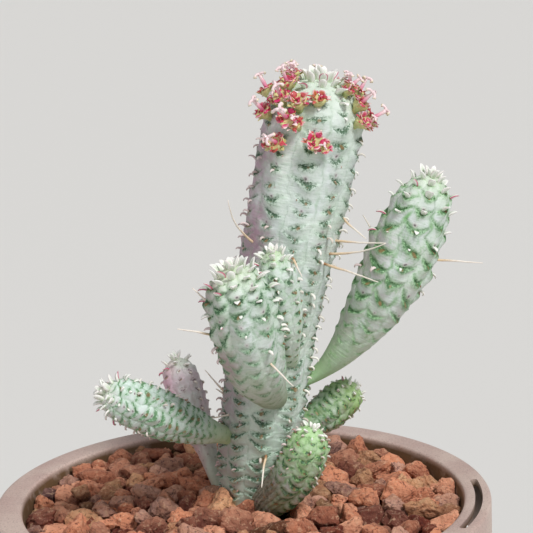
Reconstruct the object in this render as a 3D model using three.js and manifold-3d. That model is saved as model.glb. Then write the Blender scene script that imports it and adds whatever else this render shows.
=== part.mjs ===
// A cob-like succulent spurge in a round plastic pot: a ribbed trunk with seven side branches, white
// scale leaves, woody thorns and a crown of small pink and red blooms, standing in crushed lava gravel.
//
// Millimetres. +Z is up, the front is -Y, and the origin is the centre of the pot's foot.

import * as THREE from "three";
import { mergeVertices } from "three/addons/utils/BufferGeometryUtils.js";
import Module from "manifold-3d";

const wasm = await Module();
wasm.setup();

// ---------------------------------------------------------------------------------------------
// Driving dimensions
// ---------------------------------------------------------------------------------------------

const POT_HEIGHT = 105;
const RIM_RADIUS = 75;
const RIM_WIDTH = 8; // the flat band round the mouth
const RIM_THICK = 2.2;
const LIP_DEPTH = 20; // the rim's outer edge, turned down
const LIP_THICK = 1.7;
const WALL = 2;
const FOOT_RADIUS = 50;
const FOOT_RING_WIDTH = 5;
const FOOT_RING_HEIGHT = 3;
const FLOOR_THICK = 2.5;
const RIM_CHAMFER = 0.6;
const POT_SIDES = 48;

const SLOT_WIDTH = 2.3; // of the one slot through the rim, for a plant label
const SLOT_ARC = THREE.MathUtils.degToRad(33);
const SLOT_MIDDLE = THREE.MathUtils.degToRad(-9); // its direction from the axis, at the right
const SLOT_INSET = 1.1; // from the wall's outside to the slot
const SLOT_SIDES = 6;

const DRAIN_COUNT = 4;
const DRAIN_RADIUS = 4;
const DRAIN_RING = 30;
const DRAIN_SIDES = 8;

const SOIL_TOP = 88;
const GRAVEL_DROP = 5; // how far the gravel lies below the rim at the wall
const GRAVEL_CROWN = 5; // how far it heaps up from there to the middle
const BED_GRID = 6;
const BED_SHUFFLE = 0.6; // of the grid, sideways
const BED_ROUGH = 3.4; // the span of its heights
const BED_LOWER = 0.75; // the share of that span below the mean
const BED_DEPTH = 5; // to its flat underside, which the soil's top cuts off
const STONE_SIZE = 9.6;
const STONE_SPREAD = [0.8, 1.15]; // the smallest and the largest chip, over that size
const STONE_FLAT = 0.75; // a chip's height, and its least width, over its length
const STONE_KNOCK = 0.34; // how far its corners are knocked in, at most
const STONE_TILT = 0.45; // radians, either way
const STONE_SUNK = 1; // below the gravel's mean surface
const STONE_COUNT = 40;
const STONE_MARGIN = 5; // from the wall to the nearest chip's middle
const STONE_SEED = 11;
const HEAP_ROOM = 12; // above the rim, for the gravel's heap
const GRAVEL_TOLERANCE = 0.1;

const GAP = 0.3; // between neighbouring solids
const TOLERANCE = 0.01; // slivers thinner than this are taken out
const WELD = 1e-4; // corners nearer than this are one

const TUBERCLE_RISE = 0.16; // of a row's height, above the mean surface
const TUBERCLE_FALL = 0.12; // and below it
const TUBERCLE_LIMIT = 0.3; // a row counts as no taller than this share of the stem's radius
const POLE_RADIUS = 1.8; // where the rows end and the tip closes
const NECK_SHARE = 0.9; // rows in a neck are as tall as at this share of the widest girth
const DOME_SHARE = 0.6;
const TIGHT_FROM = 0.78; // of a stem's length: below it the rows get lower, and stay so below the next
const TIGHT_TO = 0.66;
const BURIED = 99; // stems are plain below this height
const ENVELOPE_SIDES = 12; // of the plain bar that a stem's hole is cut with
const ENVELOPE_ROWS = 4; // it follows each fourth half row

const LEAF_LENGTH = 2.9;
const LEAF_WIDTH = 1.6;
const LEAF_THICK = 0.9;
const LEAF_SUNK = 0.8; // how deep a leaf's root sits in its tubercle
const LEAF_REACH = 0.8; // how far its tip stands out, over its length
const LEAF_RISE = 0.5; // how far the youngest leaf's tip rises, over its length
const LEAF_DROOP = 0.9; // and how much less the oldest one's does
const STUB_LENGTH = 2; // what is left of a withered leaf
const STUB_RISE = -0.5;
const STUBS_FROM = POT_HEIGHT + 8; // those lower down have worn off
const STUB_STEPS = [5, 3]; // how ribs and half rows count towards every so manieth stub
const THORN_RADIUS = 0.5;
const THORN_DEEP = 1.4; // its three-sided section's depth over that radius
const THORN_STRAIGHT = 0.65; // a thorn tapers beyond this share of its length

const STALK_LENGTH = 1.2;
const STALK_RADIUS = 0.8;
const STALK_SUNK = 1.5; // how far it runs on into the trunk, which is cut away from it
const CUP_RADIUS = 2;
const CUP_HEIGHT = 2.6;
const GLANDS = 5; // the cup is wide at its glands and narrow between them
const SHOULDER = { wide: 0.95, narrow: 0.8, high: 0.6 }; // over the cup's radius and height
const MOUTH = { wide: 1.15, narrow: 0.55, low: 0.8 };
const STYLE_LENGTH = 3.4;
const STYLE_RADIUS = 0.42;
const STYLE_FOOT = 0.4; // of the cup's height
const STYLE_NOTCH = 0.3; // the fork's depth
const STYLE_ARM = [1.7, 0.3, 1]; // from the fork to the tip of one arm
const LEAN_PAIR = 0.5; // radians, of two styles in a cup
const LEAN_ALONE = 0.12;
const BLOOM_SUNK = 0.4;
const BLOOM_LEAN = 0.45; // how far a bloom leans up the trunk, over how far it stands out
const BLOOM_TURN = 1.3; // radians from one bloom's styles to the next one's

// The looks of the solids: [colour, roughness].
const FINISH = {
  pot: [0xb5a097, 0.7],
  soil: [0x4a3426, 1],
  gravel: [0xb0663f, 0.95],
  stem: [0xd3ddd2, 0.6],
  bloom: [0xc8576a, 0.6],
};

// Each stem's path is [x, y, z, radius] from its root to its tip. ribs is even, rowShare is a row's
// height over a rib's width, tight by what share the rows of slower years are lower, dome is the length
// of the rounded tip, and leafRows counts the half rows of leaves below it.
const STEMS = {
  trunk: {
    ribs: 10,
    rowShare: 0.535,
    tight: 0.25,
    dome: 15,
    leafRows: 6,
    stubEvery: 8,
    path: [
      [3.8, 2, 80, 9.6],
      [4.2, 1.8, 104, 11],
      [5.9, 0, 125, 12],
      [9.4, 0, 150, 12.3],
      [13.8, 1, 173, 13.2],
      [19.5, 3, 196.6, 14.3],
      [24.4, 5, 219, 14.4],
      [27.5, 6, 232.2, 13.8],
    ],
  },
  branch_front: {
    ribs: 10,
    rowShare: 0.72,
    dome: 11,
    leafRows: 6,
    stubEvery: 9,
    path: [
      [11.5, -6, 138, 3.4],
      [8.5, -17, 144.8, 5.7],
      [5.7, -26, 154, 8.5],
      [3.2, -31.5, 167, 9.8],
      [0.9, -33, 178.5, 9.3],
      [-0.8, -33.5, 186.3, 8.4],
    ],
  },
  branch_slim: {
    ribs: 8,
    rowShare: 0.75,
    dome: 9,
    leafRows: 5,
    stubEvery: 9,
    path: [
      [15.5, -6.5, 148.5, 2.2],
      [14.6, -14, 157, 3.9],
      [13.6, -18, 168, 5.7],
      [12.3, -20.5, 178.5, 5.8],
      [11, -21.5, 187.6, 5.2],
    ],
  },
  branch_right: {
    ribs: 8,
    rowShare: 0.78,
    dome: 9,
    leafRows: 7,
    stubEvery: 9,
    path: [
      [17, 0, 141, 2.2],
      [24, -0.3, 144.3, 2.5],
      [31, -1.5, 151, 4.6],
      [38, -2.7, 160.5, 7.2],
      [45.1, -4, 172.5, 9.3],
      [50.6, -4, 184, 9.6],
      [55.5, -4, 195.5, 8.2],
      [58.5, -4, 204.3, 7],
    ],
  },
  branch_left: {
    ribs: 8,
    rowShare: 0.7,
    dome: 7,
    leafRows: 5,
    stubEvery: 9,
    path: [
      [-1, -3, 125.3, 2.6],
      [-6.5, -8, 128.6, 3.1],
      [-14.8, -13, 132.9, 5.4],
      [-24, -17.3, 138.5, 7],
      [-33, -20.5, 143.7, 6.3],
      [-39.6, -22, 147.6, 5],
    ],
  },
  branch_back: {
    ribs: 8,
    rowShare: 0.75,
    dome: 7,
    leafRows: 4,
    stubEvery: 9,
    path: [
      [1, 5, 92, 2.2],
      [-5.5, 9.5, 101, 2],
      [-8.4, 12.5, 108, 2.3],
      [-10.6, 15.4, 115, 3.1],
      [-13.6, 18.8, 123.5, 4.6],
      [-17, 21, 133.4, 5.4],
      [-19.6, 22, 143.4, 4.9],
    ],
  },
  branch_foot: {
    ribs: 8,
    rowShare: 0.6,
    dome: 7,
    leafRows: 4,
    stubEvery: 9,
    path: [
      [3, -5, 99, 4.4],
      [8, -10.5, 107.5, 5.3],
      [14.2, -16, 115.7, 6.4],
      [18.4, -19.6, 124, 6.4],
      [21.7, -22, 134, 5.2],
    ],
  },
  branch_low: {
    ribs: 8,
    rowShare: 0.6,
    dome: 6,
    leafRows: 5,
    stubEvery: 9,
    path: [
      [11, 1, 121.5, 3.2],
      [19.7, 4, 125.7, 4.1],
      [25.2, 6.4, 128.8, 5.5],
      [30.8, 8, 132.7, 5.6],
      [35.7, 9, 137, 4.9],
    ],
  },
};

// Thorns: [stem, root inside it, tip, sag of the bow].
const THORNS = [
  ["trunk", [8, -5, 184.6], [-1.1, -12, 200.9], -2.4],
  ["trunk", [28.1, -2.4, 185.6], [44.3, -13, 186.7], 0.3],
  ["trunk", [26.6, -4.4, 182], [44.2, -16, 187.5], 1.5],
  ["trunk", [32, 0, 191.8], [38.7, -9, 187.1], 0],
  ["trunk", [25.8, -6.3, 179.6], [41.6, -17, 176.2], 0],
  ["trunk", [-2, 0.7, 135.8], [-10.2, 6, 144.2], 0],
  ["trunk", [-2.2, 0.1, 137.2], [-6.8, -6, 141.9], 0],
  ["trunk", [1.6, -4.7, 134], [-9.4, -10, 133.9], 0],
  ["trunk", [16, 10, 170], [8, 27, 173], 1],
  ["trunk", [4, 8, 150], [-6, 22, 154], 0],
  ["trunk", [22, 12, 188], [27, 29, 185], 1],
  ["trunk", [12, 8, 122], [21, 21, 119], 0],
  ["branch_front", [-4.6, -32.5, 166.2], [-16.4, -40, 170.7], 0],
  ["branch_front", [-5, -32.5, 174], [-12.1, -28, 179.3], 0],
  ["branch_front", [6.3, -33.1, 161.2], [15.9, -43, 153.6], 0],
  ["branch_slim", [17, -22, 185.5], [19.4, -30, 182], 0],
  ["branch_right", [42.7, -6.7, 185.6], [38.5, 6, 190.6], 0],
  ["branch_right", [56.6, -4.3, 179.1], [72.8, -8, 178.4], 0],
  ["branch_right", [50, 2, 177], [54, 15, 175], 0],
  ["branch_foot", [7.2, -12, 122.8], [5.8, -22, 116.1], 0],
];

// Blooms on the trunk: [rib, half rows below the tip, size, styles that stand out]. They crowd the
// axils between ribs, so a rib may be a fraction.
const BLOOMS = [
  [2.75, 5, 1.1, 2],
  [3.42, 7, 1.05, 1],
  [3.67, 9, 1.05, 1],
  [4.33, 9, 1.15, 0],
  [3.25, 11, 1.05, 1],
  [4.17, 11, 1.15, 1],
  [4, 14, 1.1, 1],
  [5.04, 13, 1.1, 0],
  [4.92, 8, 1, 0],
  [6.92, 5, 1.1, 2],
  [6.75, 8, 1.05, 1],
  [6.58, 10, 1, 0],
  [7.42, 10, 1.1, 1],
  [8, 7, 1.05, 1],
  [8.83, 6, 1.1, 1],
  [9.42, 8, 1.05, 0],
  [0.17, 6, 1.1, 1],
  [1, 8, 1.05, 1],
  [1.67, 6, 1.1, 2],
  [2.33, 9, 1.05, 1],
];

// ---------------------------------------------------------------------------------------------
// Solids
// ---------------------------------------------------------------------------------------------

/** A seeded random number from 0 to 1, so that every run places the same pieces. */
function seeded(seed) {
  let state = seed;
  return () => {
    state = (state + 0x6d2b79f5) | 0;
    let t = Math.imul(state ^ (state >>> 15), 1 | state);
    t = (t + Math.imul(t ^ (t >>> 7), 61 | t)) ^ t;
    return ((t ^ (t >>> 14)) >>> 0) / 4294967296;
  };
}

/** A closed three.js geometry as a manifold-3d solid. */
function solid(geometry) {
  const bare = geometry.clone();
  bare.deleteAttribute("normal");
  bare.deleteAttribute("uv");
  const merged = mergeVertices(bare, WELD);
  return new wasm.Manifold(
    new wasm.Mesh({
      numProp: 3,
      vertProperties: merged.attributes.position.array,
      triVerts: new Uint32Array(merged.index.array),
    }),
  );
}

/** A geometry from a list of Vector3 points and a list of triangles. */
function shell(points, triangles) {
  const geometry = new THREE.BufferGeometry().setFromPoints(points);
  geometry.setIndex(triangles.flat());
  return geometry;
}

/** The largest body of a solid: a sealed hollow is filled and loose scraps are dropped. */
function largest(made) {
  return made.decompose().reduce((a, b) => (b.volume() > a.volume() ? b : a));
}

/** A solid as a named mesh with one of the finishes. */
function mesh(name, made, finish) {
  const [color, roughness] = FINISH[finish];
  const { numProp, numVert, vertProperties, triVerts } = made.getMesh();
  const positions = new Float32Array(numVert * 3);
  for (let i = 0; i < numVert; i++) {
    positions.set(vertProperties.subarray(i * numProp, i * numProp + 3), i * 3);
  }
  const geometry = new THREE.BufferGeometry();
  geometry.setAttribute("position", new THREE.BufferAttribute(positions, 3));
  geometry.setIndex(new THREE.BufferAttribute(triVerts, 1));
  geometry.computeVertexNormals();
  const material = new THREE.MeshStandardMaterial({ color, roughness, metalness: 0 });
  const node = new THREE.Mesh(geometry, material);
  node.name = name;
  return node;
}

/** A solid turned about Z from a profile of [radius, height] points that starts and ends on the axis
 * or closes on itself. */
function turned(profile, sides) {
  const points = profile.map(([r, z]) => new THREE.Vector2(r, z));
  const lathe = new THREE.LatheGeometry(points, sides);
  lathe.rotateX(Math.PI / 2);
  return solid(lathe);
}

/** A solid joined from many, with slivers under the tolerance taken out. */
function fuse(solids, tolerance = TOLERANCE) {
  return largest(wasm.Manifold.union(solids).simplify(tolerance));
}

// ---------------------------------------------------------------------------------------------
// Pot
// ---------------------------------------------------------------------------------------------

/** The inner radius of the pot's wall at a height. */
function insideRadius(z) {
  const floor = FOOT_RING_HEIGHT + FLOOR_THICK;
  const top = RIM_RADIUS - RIM_WIDTH;
  const bottom = FOOT_RADIUS - WALL;
  return bottom + ((top - bottom) * (z - floor)) / (POT_HEIGHT - floor);
}

/** The slot through the rim: an arc-shaped bar round the pot's axis that runs past both faces. */
function rimSlot() {
  const inner = insideRadius(POT_HEIGHT) + WALL + SLOT_INSET;
  const shape = new THREE.Shape();
  const from = SLOT_MIDDLE - SLOT_ARC / 2;
  const to = SLOT_MIDDLE + SLOT_ARC / 2;
  shape.absarc(0, 0, inner + SLOT_WIDTH, from, to, false);
  shape.absarc(0, 0, inner, to, from, true);
  const bar = new THREE.ExtrudeGeometry(shape, {
    depth: RIM_THICK * 3,
    bevelEnabled: false,
    curveSegments: SLOT_SIDES,
  });
  return solid(bar.translate(0, 0, POT_HEIGHT - RIM_THICK * 2));
}

function pot() {
  const floor = FOOT_RING_HEIGHT + FLOOR_THICK;
  const inside = insideRadius(POT_HEIGHT);
  const underRim = POT_HEIGHT - RIM_THICK;
  const body = turned(
    [
      [0, FOOT_RING_HEIGHT],
      [FOOT_RADIUS - FOOT_RING_WIDTH, FOOT_RING_HEIGHT],
      [FOOT_RADIUS - FOOT_RING_WIDTH, 0],
      [FOOT_RADIUS, 0],
      [insideRadius(underRim) + WALL, underRim],
      [RIM_RADIUS - LIP_THICK, underRim],
      [RIM_RADIUS - LIP_THICK, POT_HEIGHT - LIP_DEPTH],
      [RIM_RADIUS, POT_HEIGHT - LIP_DEPTH],
      [RIM_RADIUS, POT_HEIGHT - RIM_CHAMFER],
      [RIM_RADIUS - RIM_CHAMFER, POT_HEIGHT],
      [inside, POT_HEIGHT],
      [insideRadius(floor), floor],
      [0, floor],
    ],
    POT_SIDES,
  );
  const cuts = [rimSlot()];
  for (let i = 0; i < DRAIN_COUNT; i++) {
    const hole = new THREE.CylinderGeometry(DRAIN_RADIUS, DRAIN_RADIUS, 4 * FLOOR_THICK, DRAIN_SIDES);
    hole.rotateX(Math.PI / 2);
    hole.translate(DRAIN_RING, 0, floor - FLOOR_THICK / 2);
    hole.rotateZ(((i + 0.5) * 2 * Math.PI) / DRAIN_COUNT);
    cuts.push(solid(hole));
  }
  return body.subtract(wasm.Manifold.union(cuts));
}

// ---------------------------------------------------------------------------------------------
// Stems
// ---------------------------------------------------------------------------------------------

const PROFILE_STEPS = 600;
const BACK = new THREE.Vector3(0, 1, 0);

/** The stem's meridian: for closely spaced stations from root to tip, the distance s along the path,
 * the radius, and the distance m over the surface. */
function meridian(stem) {
  const centre = new THREE.CatmullRomCurve3(
    stem.path.map(([x, y, z]) => new THREE.Vector3(x, y, z)),
    false,
    "catmullrom",
  );
  const girth = new THREE.CatmullRomCurve3(
    stem.path.map(([, , , r]) => new THREE.Vector3(r, 0, 0)),
    false,
    "catmullrom",
  );
  const length = centre.getLength();
  const stations = [];
  let m = 0;
  for (let i = 0; i <= PROFILE_STEPS; i++) {
    const w = i / PROFILE_STEPS;
    const s = length * (1 - (1 - w) ** 2); // closer together towards the tip
    const into = Math.max(0, (s - length + stem.dome) / stem.dome);
    const r = girth.getPoint(centre.getUtoTmapping(s / length)).x * Math.sqrt(1 - into ** 2);
    if (i) m += Math.hypot(s - stations[i - 1].s, r - stations[i - 1].r);
    stations.push({ s, r, m });
  }
  return { centre, length, stations };
}

/** The point of a stem's surface frame at a surface distance m: its centre, the unit vectors n and b
 * across the stem, the tangent, the radius, and the slope of the surface. */
function frameAt(line, m) {
  const { stations, centre, length } = line;
  let i = 1;
  while (i < stations.length - 1 && stations[i].m < m) i++;
  const [a, b] = [stations[i - 1], stations[i]];
  const f = THREE.MathUtils.clamp((m - a.m) / (b.m - a.m), 0, 1);
  const s = THREE.MathUtils.lerp(a.s, b.s, f);
  const tangent = centre.getTangentAt(Math.min(1, s / length));
  const n = BACK.clone().addScaledVector(tangent, -BACK.dot(tangent)).normalize();
  return {
    point: centre.getPointAt(Math.min(1, s / length)),
    tangent,
    n,
    b: new THREE.Vector3().crossVectors(tangent, n),
    radius: THREE.MathUtils.lerp(a.r, b.r, f),
    along: (b.s - a.s) / (b.m - a.m),
    inward: (b.r - a.r) / (b.m - a.m),
  };
}

/** The half rows of a stem, from root to tip: each has its surface frame and its own height. The rows
 * stay tall in a thin neck and shrink on the dome. Those under the gravel are left out, but for the
 * first, and keep their numbers. */
function halfRows(stem) {
  const line = meridian(stem);
  const total = line.stations.at(-1).m;
  const widest = Math.max(...stem.path.map(([, , , r]) => r));
  const rows = [];
  for (let m = 0, index = 0; m < total; index++) {
    const frame = frameAt(line, m);
    if (index && frame.radius < POLE_RADIUS) break;
    const least = m < total / 2 ? NECK_SHARE : DOME_SHARE;
    const girth = Math.max(frame.radius, least * widest);
    const slow = THREE.MathUtils.clamp((TIGHT_FROM - m / total) / (TIGHT_FROM - TIGHT_TO), 0, 1);
    const share = stem.rowShare * (1 - (stem.tight ?? 0) * slow);
    const height = (share * 2 * Math.PI * girth) / stem.ribs;
    if (!index || frame.point.z > BURIED) rows.push({ ...frame, height, index });
    m += height / 2;
  }
  return { rows, tip: line.centre.getPointAt(1) };
}

/** The outward direction of a rib in a row. */
function outward(row, rib, ribs) {
  const angle = (2 * Math.PI * rib) / ribs;
  const across = row.n.clone().multiplyScalar(Math.cos(angle));
  across.addScaledVector(row.b, Math.sin(angle));
  return across;
}

/** The surface normal of a rib in a row, which leans towards the tip on the dome. */
function normalOf(row, rib, ribs) {
  const across = outward(row, rib, ribs).multiplyScalar(row.along);
  return across.addScaledVector(row.tangent, -row.inward).normalize();
}

/** A point of a rib in a row, raised from the mean surface. */
function onSurface(row, rib, ribs, raised) {
  const point = row.point.clone().addScaledVector(outward(row, rib, ribs), row.radius);
  return point.addScaledVector(normalOf(row, rib, ribs), raised);
}

/** Whether a tubercle's peak stands on this rib and half row: peaks and hollows alternate. */
function isPeak(rib, index) {
  return (rib + index) % 2 === 1;
}

/** The height that a row's tubercles are measured by: nothing at the buried root. */
function tubercle(row) {
  return row.index ? Math.min(row.height, TUBERCLE_LIMIT * row.radius) : 0;
}

/** The body of a stem, covered in tubercles, grown outward by a clearance. */
function cob(stem, grow = 0) {
  const { rows, tip } = halfRows(stem);
  const points = [];
  const triangles = [];
  rows.forEach((row) => {
    for (let k = 0; k < stem.ribs; k++) {
      const share = isPeak(k, row.index) ? TUBERCLE_RISE : -TUBERCLE_FALL;
      points.push(onSurface(row, k, stem.ribs, share * tubercle(row) + grow));
    }
  });
  const at = (i, k) => i * stem.ribs + (k % stem.ribs);
  for (let i = 0; i + 1 < rows.length; i++) {
    for (let k = 0; k < stem.ribs; k++) {
      const [a, b, c, d] = [at(i, k), at(i, k + 1), at(i + 1, k + 1), at(i + 1, k)];
      // Each quad is creased from hollow to hollow, which leaves the peaks as pyramids.
      const high = isPeak(k, rows[i + 1].index);
      triangles.push(...(high ? [[a, b, c], [a, c, d]] : [[a, b, d], [b, c, d]]));
    }
  }
  const last = rows.length - 1;
  const ends = [rows[0].point.clone(), tip.clone().addScaledVector(rows[last].tangent, grow)];
  points.push(...ends);
  for (let k = 0; k < stem.ribs; k++) {
    triangles.push([at(0, k + 1), at(0, k), points.length - 2]);
    triangles.push([at(last, k), at(last, k + 1), points.length - 1]);
  }
  return solid(shell(points, triangles));
}

/** A bar with three sides through a list of stations {at, side, up}, with a flat root and a pointed
 * tip. side and up are half its width and thickness, as vectors. */
function spike(stations, tip) {
  const points = [];
  for (const { at, side, up } of stations) {
    points.push(at.clone().add(side), at.clone().sub(side), at.clone().add(up));
  }
  points.push(tip);
  const triangles = [[0, 2, 1]];
  const last = stations.length - 1;
  for (let k = 0; k < 3; k++) {
    const next = (k + 1) % 3;
    for (let i = 0; i < last; i++) {
      triangles.push([3 * i + k, 3 * i + next, 3 * i + 3 + next]);
      triangles.push([3 * i + k, 3 * i + 3 + next, 3 * i + 3 + k]);
    }
    triangles.push([3 * last + k, 3 * last + next, points.length - 1]);
  }
  const made = solid(shell(points, triangles));
  return made.volume() < 0 ? solid(shell(points, triangles.map(([a, b, c]) => [a, c, b]))) : made;
}

/** A leaf or its dry stub on a tubercle: it stands out along the surface normal and leans up or, the
 * older it is, curls down. */
function leaf(root, out, up, length, rise) {
  const side = new THREE.Vector3().crossVectors(up, out).normalize();
  const tip = root.clone().addScaledVector(out, length * LEAF_REACH).addScaledVector(up, length * rise);
  const station = {
    at: root.clone().addScaledVector(out, -LEAF_SUNK),
    side: side.multiplyScalar(LEAF_WIDTH / 2),
    up: up.clone().multiplyScalar(LEAF_THICK),
  };
  return spike([station], tip);
}

/** A thorn from the heart of a stem to its tip, which hangs down in the middle by its sag. */
function thorn(root, tip, sag) {
  const along = tip.clone().sub(root).normalize();
  const side = new THREE.Vector3().crossVectors(along, BACK).normalize();
  const up = new THREE.Vector3().crossVectors(side, along);
  const station = (share, radius) => ({
    at: root.clone().lerp(tip, share).addScaledVector(side, -4 * sag * share * (1 - share)),
    side: side.clone().multiplyScalar(radius),
    up: up.clone().multiplyScalar(THORN_DEEP * radius),
  });
  return spike([station(0, THORN_RADIUS), station(THORN_STRAIGHT, THORN_RADIUS)], tip);
}

/** A leafy stem: its tubercled body with its leaves, dry stubs and thorns fused on, but for those that
 * would grow into a neighbour. */
function leafyStem(name, neighbours) {
  const stem = STEMS[name];
  const { rows } = halfRows(stem);
  const parts = [cob(stem)];
  const grow = (part) => part.intersect(neighbours).isEmpty() && parts.push(part);
  rows.forEach((row, i) => {
    const fromTip = rows.length - 1 - i;
    for (let k = 0; k < stem.ribs; k++) {
      if (!isPeak(k, row.index) || fromTip < 1) continue;
      const root = onSurface(row, k, stem.ribs, TUBERCLE_RISE * tubercle(row));
      const out = normalOf(row, k, stem.ribs);
      const along = row.tangent.clone().addScaledVector(out, -row.tangent.dot(out)).normalize();
      if (fromTip <= stem.leafRows) {
        const age = fromTip / stem.leafRows;
        grow(leaf(root, out, along, LEAF_LENGTH, LEAF_RISE - LEAF_DROOP * age));
        continue;
      }
      const count = k * STUB_STEPS[0] + row.index * STUB_STEPS[1];
      if (row.point.z > STUBS_FROM && count % stem.stubEvery === 0) {
        grow(leaf(root, out, along, STUB_LENGTH, STUB_RISE));
      }
    }
  });
  for (const [grower, root, tip, sag] of THORNS) {
    if (grower === name) grow(thorn(new THREE.Vector3(...root), new THREE.Vector3(...tip), sag));
  }
  return fuse(parts);
}

/** A plain round bar that holds a stem with its tubercles, for the hole that it stands in. */
function envelope(stem) {
  const { rows } = halfRows(stem);
  const points = [];
  const triangles = [];
  const sides = ENVELOPE_SIDES;
  const used = rows.filter((row, i) => i < 2 || i % ENVELOPE_ROWS === 0);
  used.forEach((row) => {
    const reach = (row.radius + TUBERCLE_RISE * row.height + GAP) / Math.cos(Math.PI / sides);
    for (let k = 0; k < sides; k++) {
      points.push(row.point.clone().addScaledVector(outward(row, k, sides), reach));
    }
  });
  const at = (i, k) => i * sides + (k % sides);
  const last = used.length - 1;
  for (let i = 0; i < last; i++) {
    for (let k = 0; k < sides; k++) {
      triangles.push([at(i, k), at(i, k + 1), at(i + 1, k + 1)]);
      triangles.push([at(i, k), at(i + 1, k + 1), at(i + 1, k)]);
    }
  }
  points.push(used[0].point.clone().addScaledVector(used[0].tangent, -GAP), used[last].point.clone());
  for (let k = 0; k < sides; k++) {
    triangles.push([at(0, k + 1), at(0, k), points.length - 2]);
    triangles.push([at(last, k), at(last, k + 1), points.length - 1]);
  }
  return solid(shell(points, triangles));
}

// ---------------------------------------------------------------------------------------------
// Blooms
// ---------------------------------------------------------------------------------------------

/** A bloom's stalk and cup, which stand up along +Z. The cup's mouth is a ring of glands. */
function cup() {
  const top = STALK_LENGTH + CUP_HEIGHT;
  const shoulder = STALK_LENGTH + CUP_HEIGHT * SHOULDER.high;
  const low = STALK_LENGTH + CUP_HEIGHT * MOUTH.low;
  const rings = [
    [STALK_RADIUS, STALK_RADIUS, -STALK_SUNK, -STALK_SUNK],
    [STALK_RADIUS, STALK_RADIUS, STALK_LENGTH, STALK_LENGTH],
    [CUP_RADIUS * SHOULDER.wide, CUP_RADIUS * SHOULDER.narrow, shoulder, shoulder],
    [CUP_RADIUS * MOUTH.wide, CUP_RADIUS * MOUTH.narrow, top, low],
  ];
  const sides = 2 * GLANDS;
  const points = [];
  for (const [far, near, farZ, nearZ] of rings) {
    for (let k = 0; k < sides; k++) {
      const angle = (k * Math.PI) / GLANDS;
      const [r, z] = k % 2 ? [near, nearZ] : [far, farZ];
      points.push(new THREE.Vector3(r * Math.cos(angle), r * Math.sin(angle), z));
    }
  }
  const last = points.length - sides;
  points.push(new THREE.Vector3(0, 0, -STALK_SUNK), new THREE.Vector3(0, 0, shoulder));
  const triangles = [];
  for (let k = 0; k < sides; k++) {
    const next = (k + 1) % sides;
    for (let i = 0; i < last; i += sides) {
      const [a, b, c, d] = [i + k, i + next, i + sides + next, i + sides + k];
      triangles.push([a, b, c], [a, c, d]);
    }
    triangles.push([next, k, points.length - 2], [last + k, last + next, points.length - 1]);
  }
  return solid(shell(points, triangles));
}

/** A style: a square column that parts into two arms, leaned over from the middle of the cup. */
function style(lean, turn) {
  const r = STYLE_RADIUS;
  const [reach, sweep, rise] = STYLE_ARM;
  const [foot, fork, top] = [0, STYLE_LENGTH, STYLE_LENGTH + rise];
  const points = [
    [-r, -r, foot], [r, -r, foot], [r, r, foot], [-r, r, foot],
    [-r, -r, fork], [r, -r, fork], [r, r, fork], [-r, r, fork],
    [0, 0, fork + STYLE_NOTCH], [reach, sweep, top], [-reach, -sweep, top],
  ].map(([x, y, z]) => new THREE.Vector3(x, y, z));
  const triangles = [
    [0, 2, 1], [0, 3, 2],
    [0, 1, 5], [0, 5, 4], [1, 2, 6], [1, 6, 5], [2, 3, 7], [2, 7, 6], [3, 0, 4], [3, 4, 7],
    [5, 6, 9], [6, 8, 9], [8, 5, 9], [7, 4, 10], [4, 8, 10], [8, 7, 10],
    [6, 7, 8], [4, 5, 8],
  ];
  const geometry = shell(points, triangles);
  geometry.rotateY(lean);
  geometry.translate(0, 0, STALK_LENGTH + CUP_HEIGHT * STYLE_FOOT);
  return solid(geometry.rotateZ(turn));
}

/** A whole bloom along +Z: its stalk and cup, with the styles that stand out of it. */
function bloomShape(styles, turn) {
  const parts = [cup()];
  const lean = styles > 1 ? LEAN_PAIR : LEAN_ALONE;
  for (let j = 0; j < styles; j++) parts.push(style(lean, turn + j * Math.PI));
  return wasm.Manifold.union(parts);
}

/** A bloom in its axil on the trunk, cut clear of the trunk's surface. */
function bloom(index, clear) {
  const [rib, fromTip, size, styles] = BLOOMS[index];
  const stem = STEMS.trunk;
  const { rows } = halfRows(stem);
  const row = rows[rows.length - 1 - fromTip];
  const root = onSurface(row, rib, stem.ribs, -BLOOM_SUNK);
  const axis = normalOf(row, rib, stem.ribs).addScaledVector(row.tangent, BLOOM_LEAN).normalize();
  const turn = new THREE.Quaternion().setFromUnitVectors(new THREE.Vector3(0, 0, 1), axis);
  const place = new THREE.Matrix4().compose(root, turn, new THREE.Vector3(size, size, size));
  const made = bloomShape(styles, index * BLOOM_TURN).transform(place.toArray());
  return largest(made.subtract(clear).simplify(TOLERANCE));
}

// ---------------------------------------------------------------------------------------------
// Soil and gravel
// ---------------------------------------------------------------------------------------------

/** The height of the gravel's mean surface at a distance from the pot's axis. */
function gravelHeight(radius) {
  const inside = RIM_RADIUS - RIM_WIDTH;
  return POT_HEIGHT - GRAVEL_DROP + GRAVEL_CROWN * (1 - (radius / inside) ** 2);
}

function soil(holes) {
  const floor = FOOT_RING_HEIGHT + FLOOR_THICK;
  const fill = turned(
    [
      [0, floor],
      [insideRadius(floor) - GAP, floor],
      [insideRadius(SOIL_TOP) - GAP, SOIL_TOP],
      [0, SOIL_TOP],
    ],
    POT_SIDES,
  );
  return largest(fill.subtract(holes));
}

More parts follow.
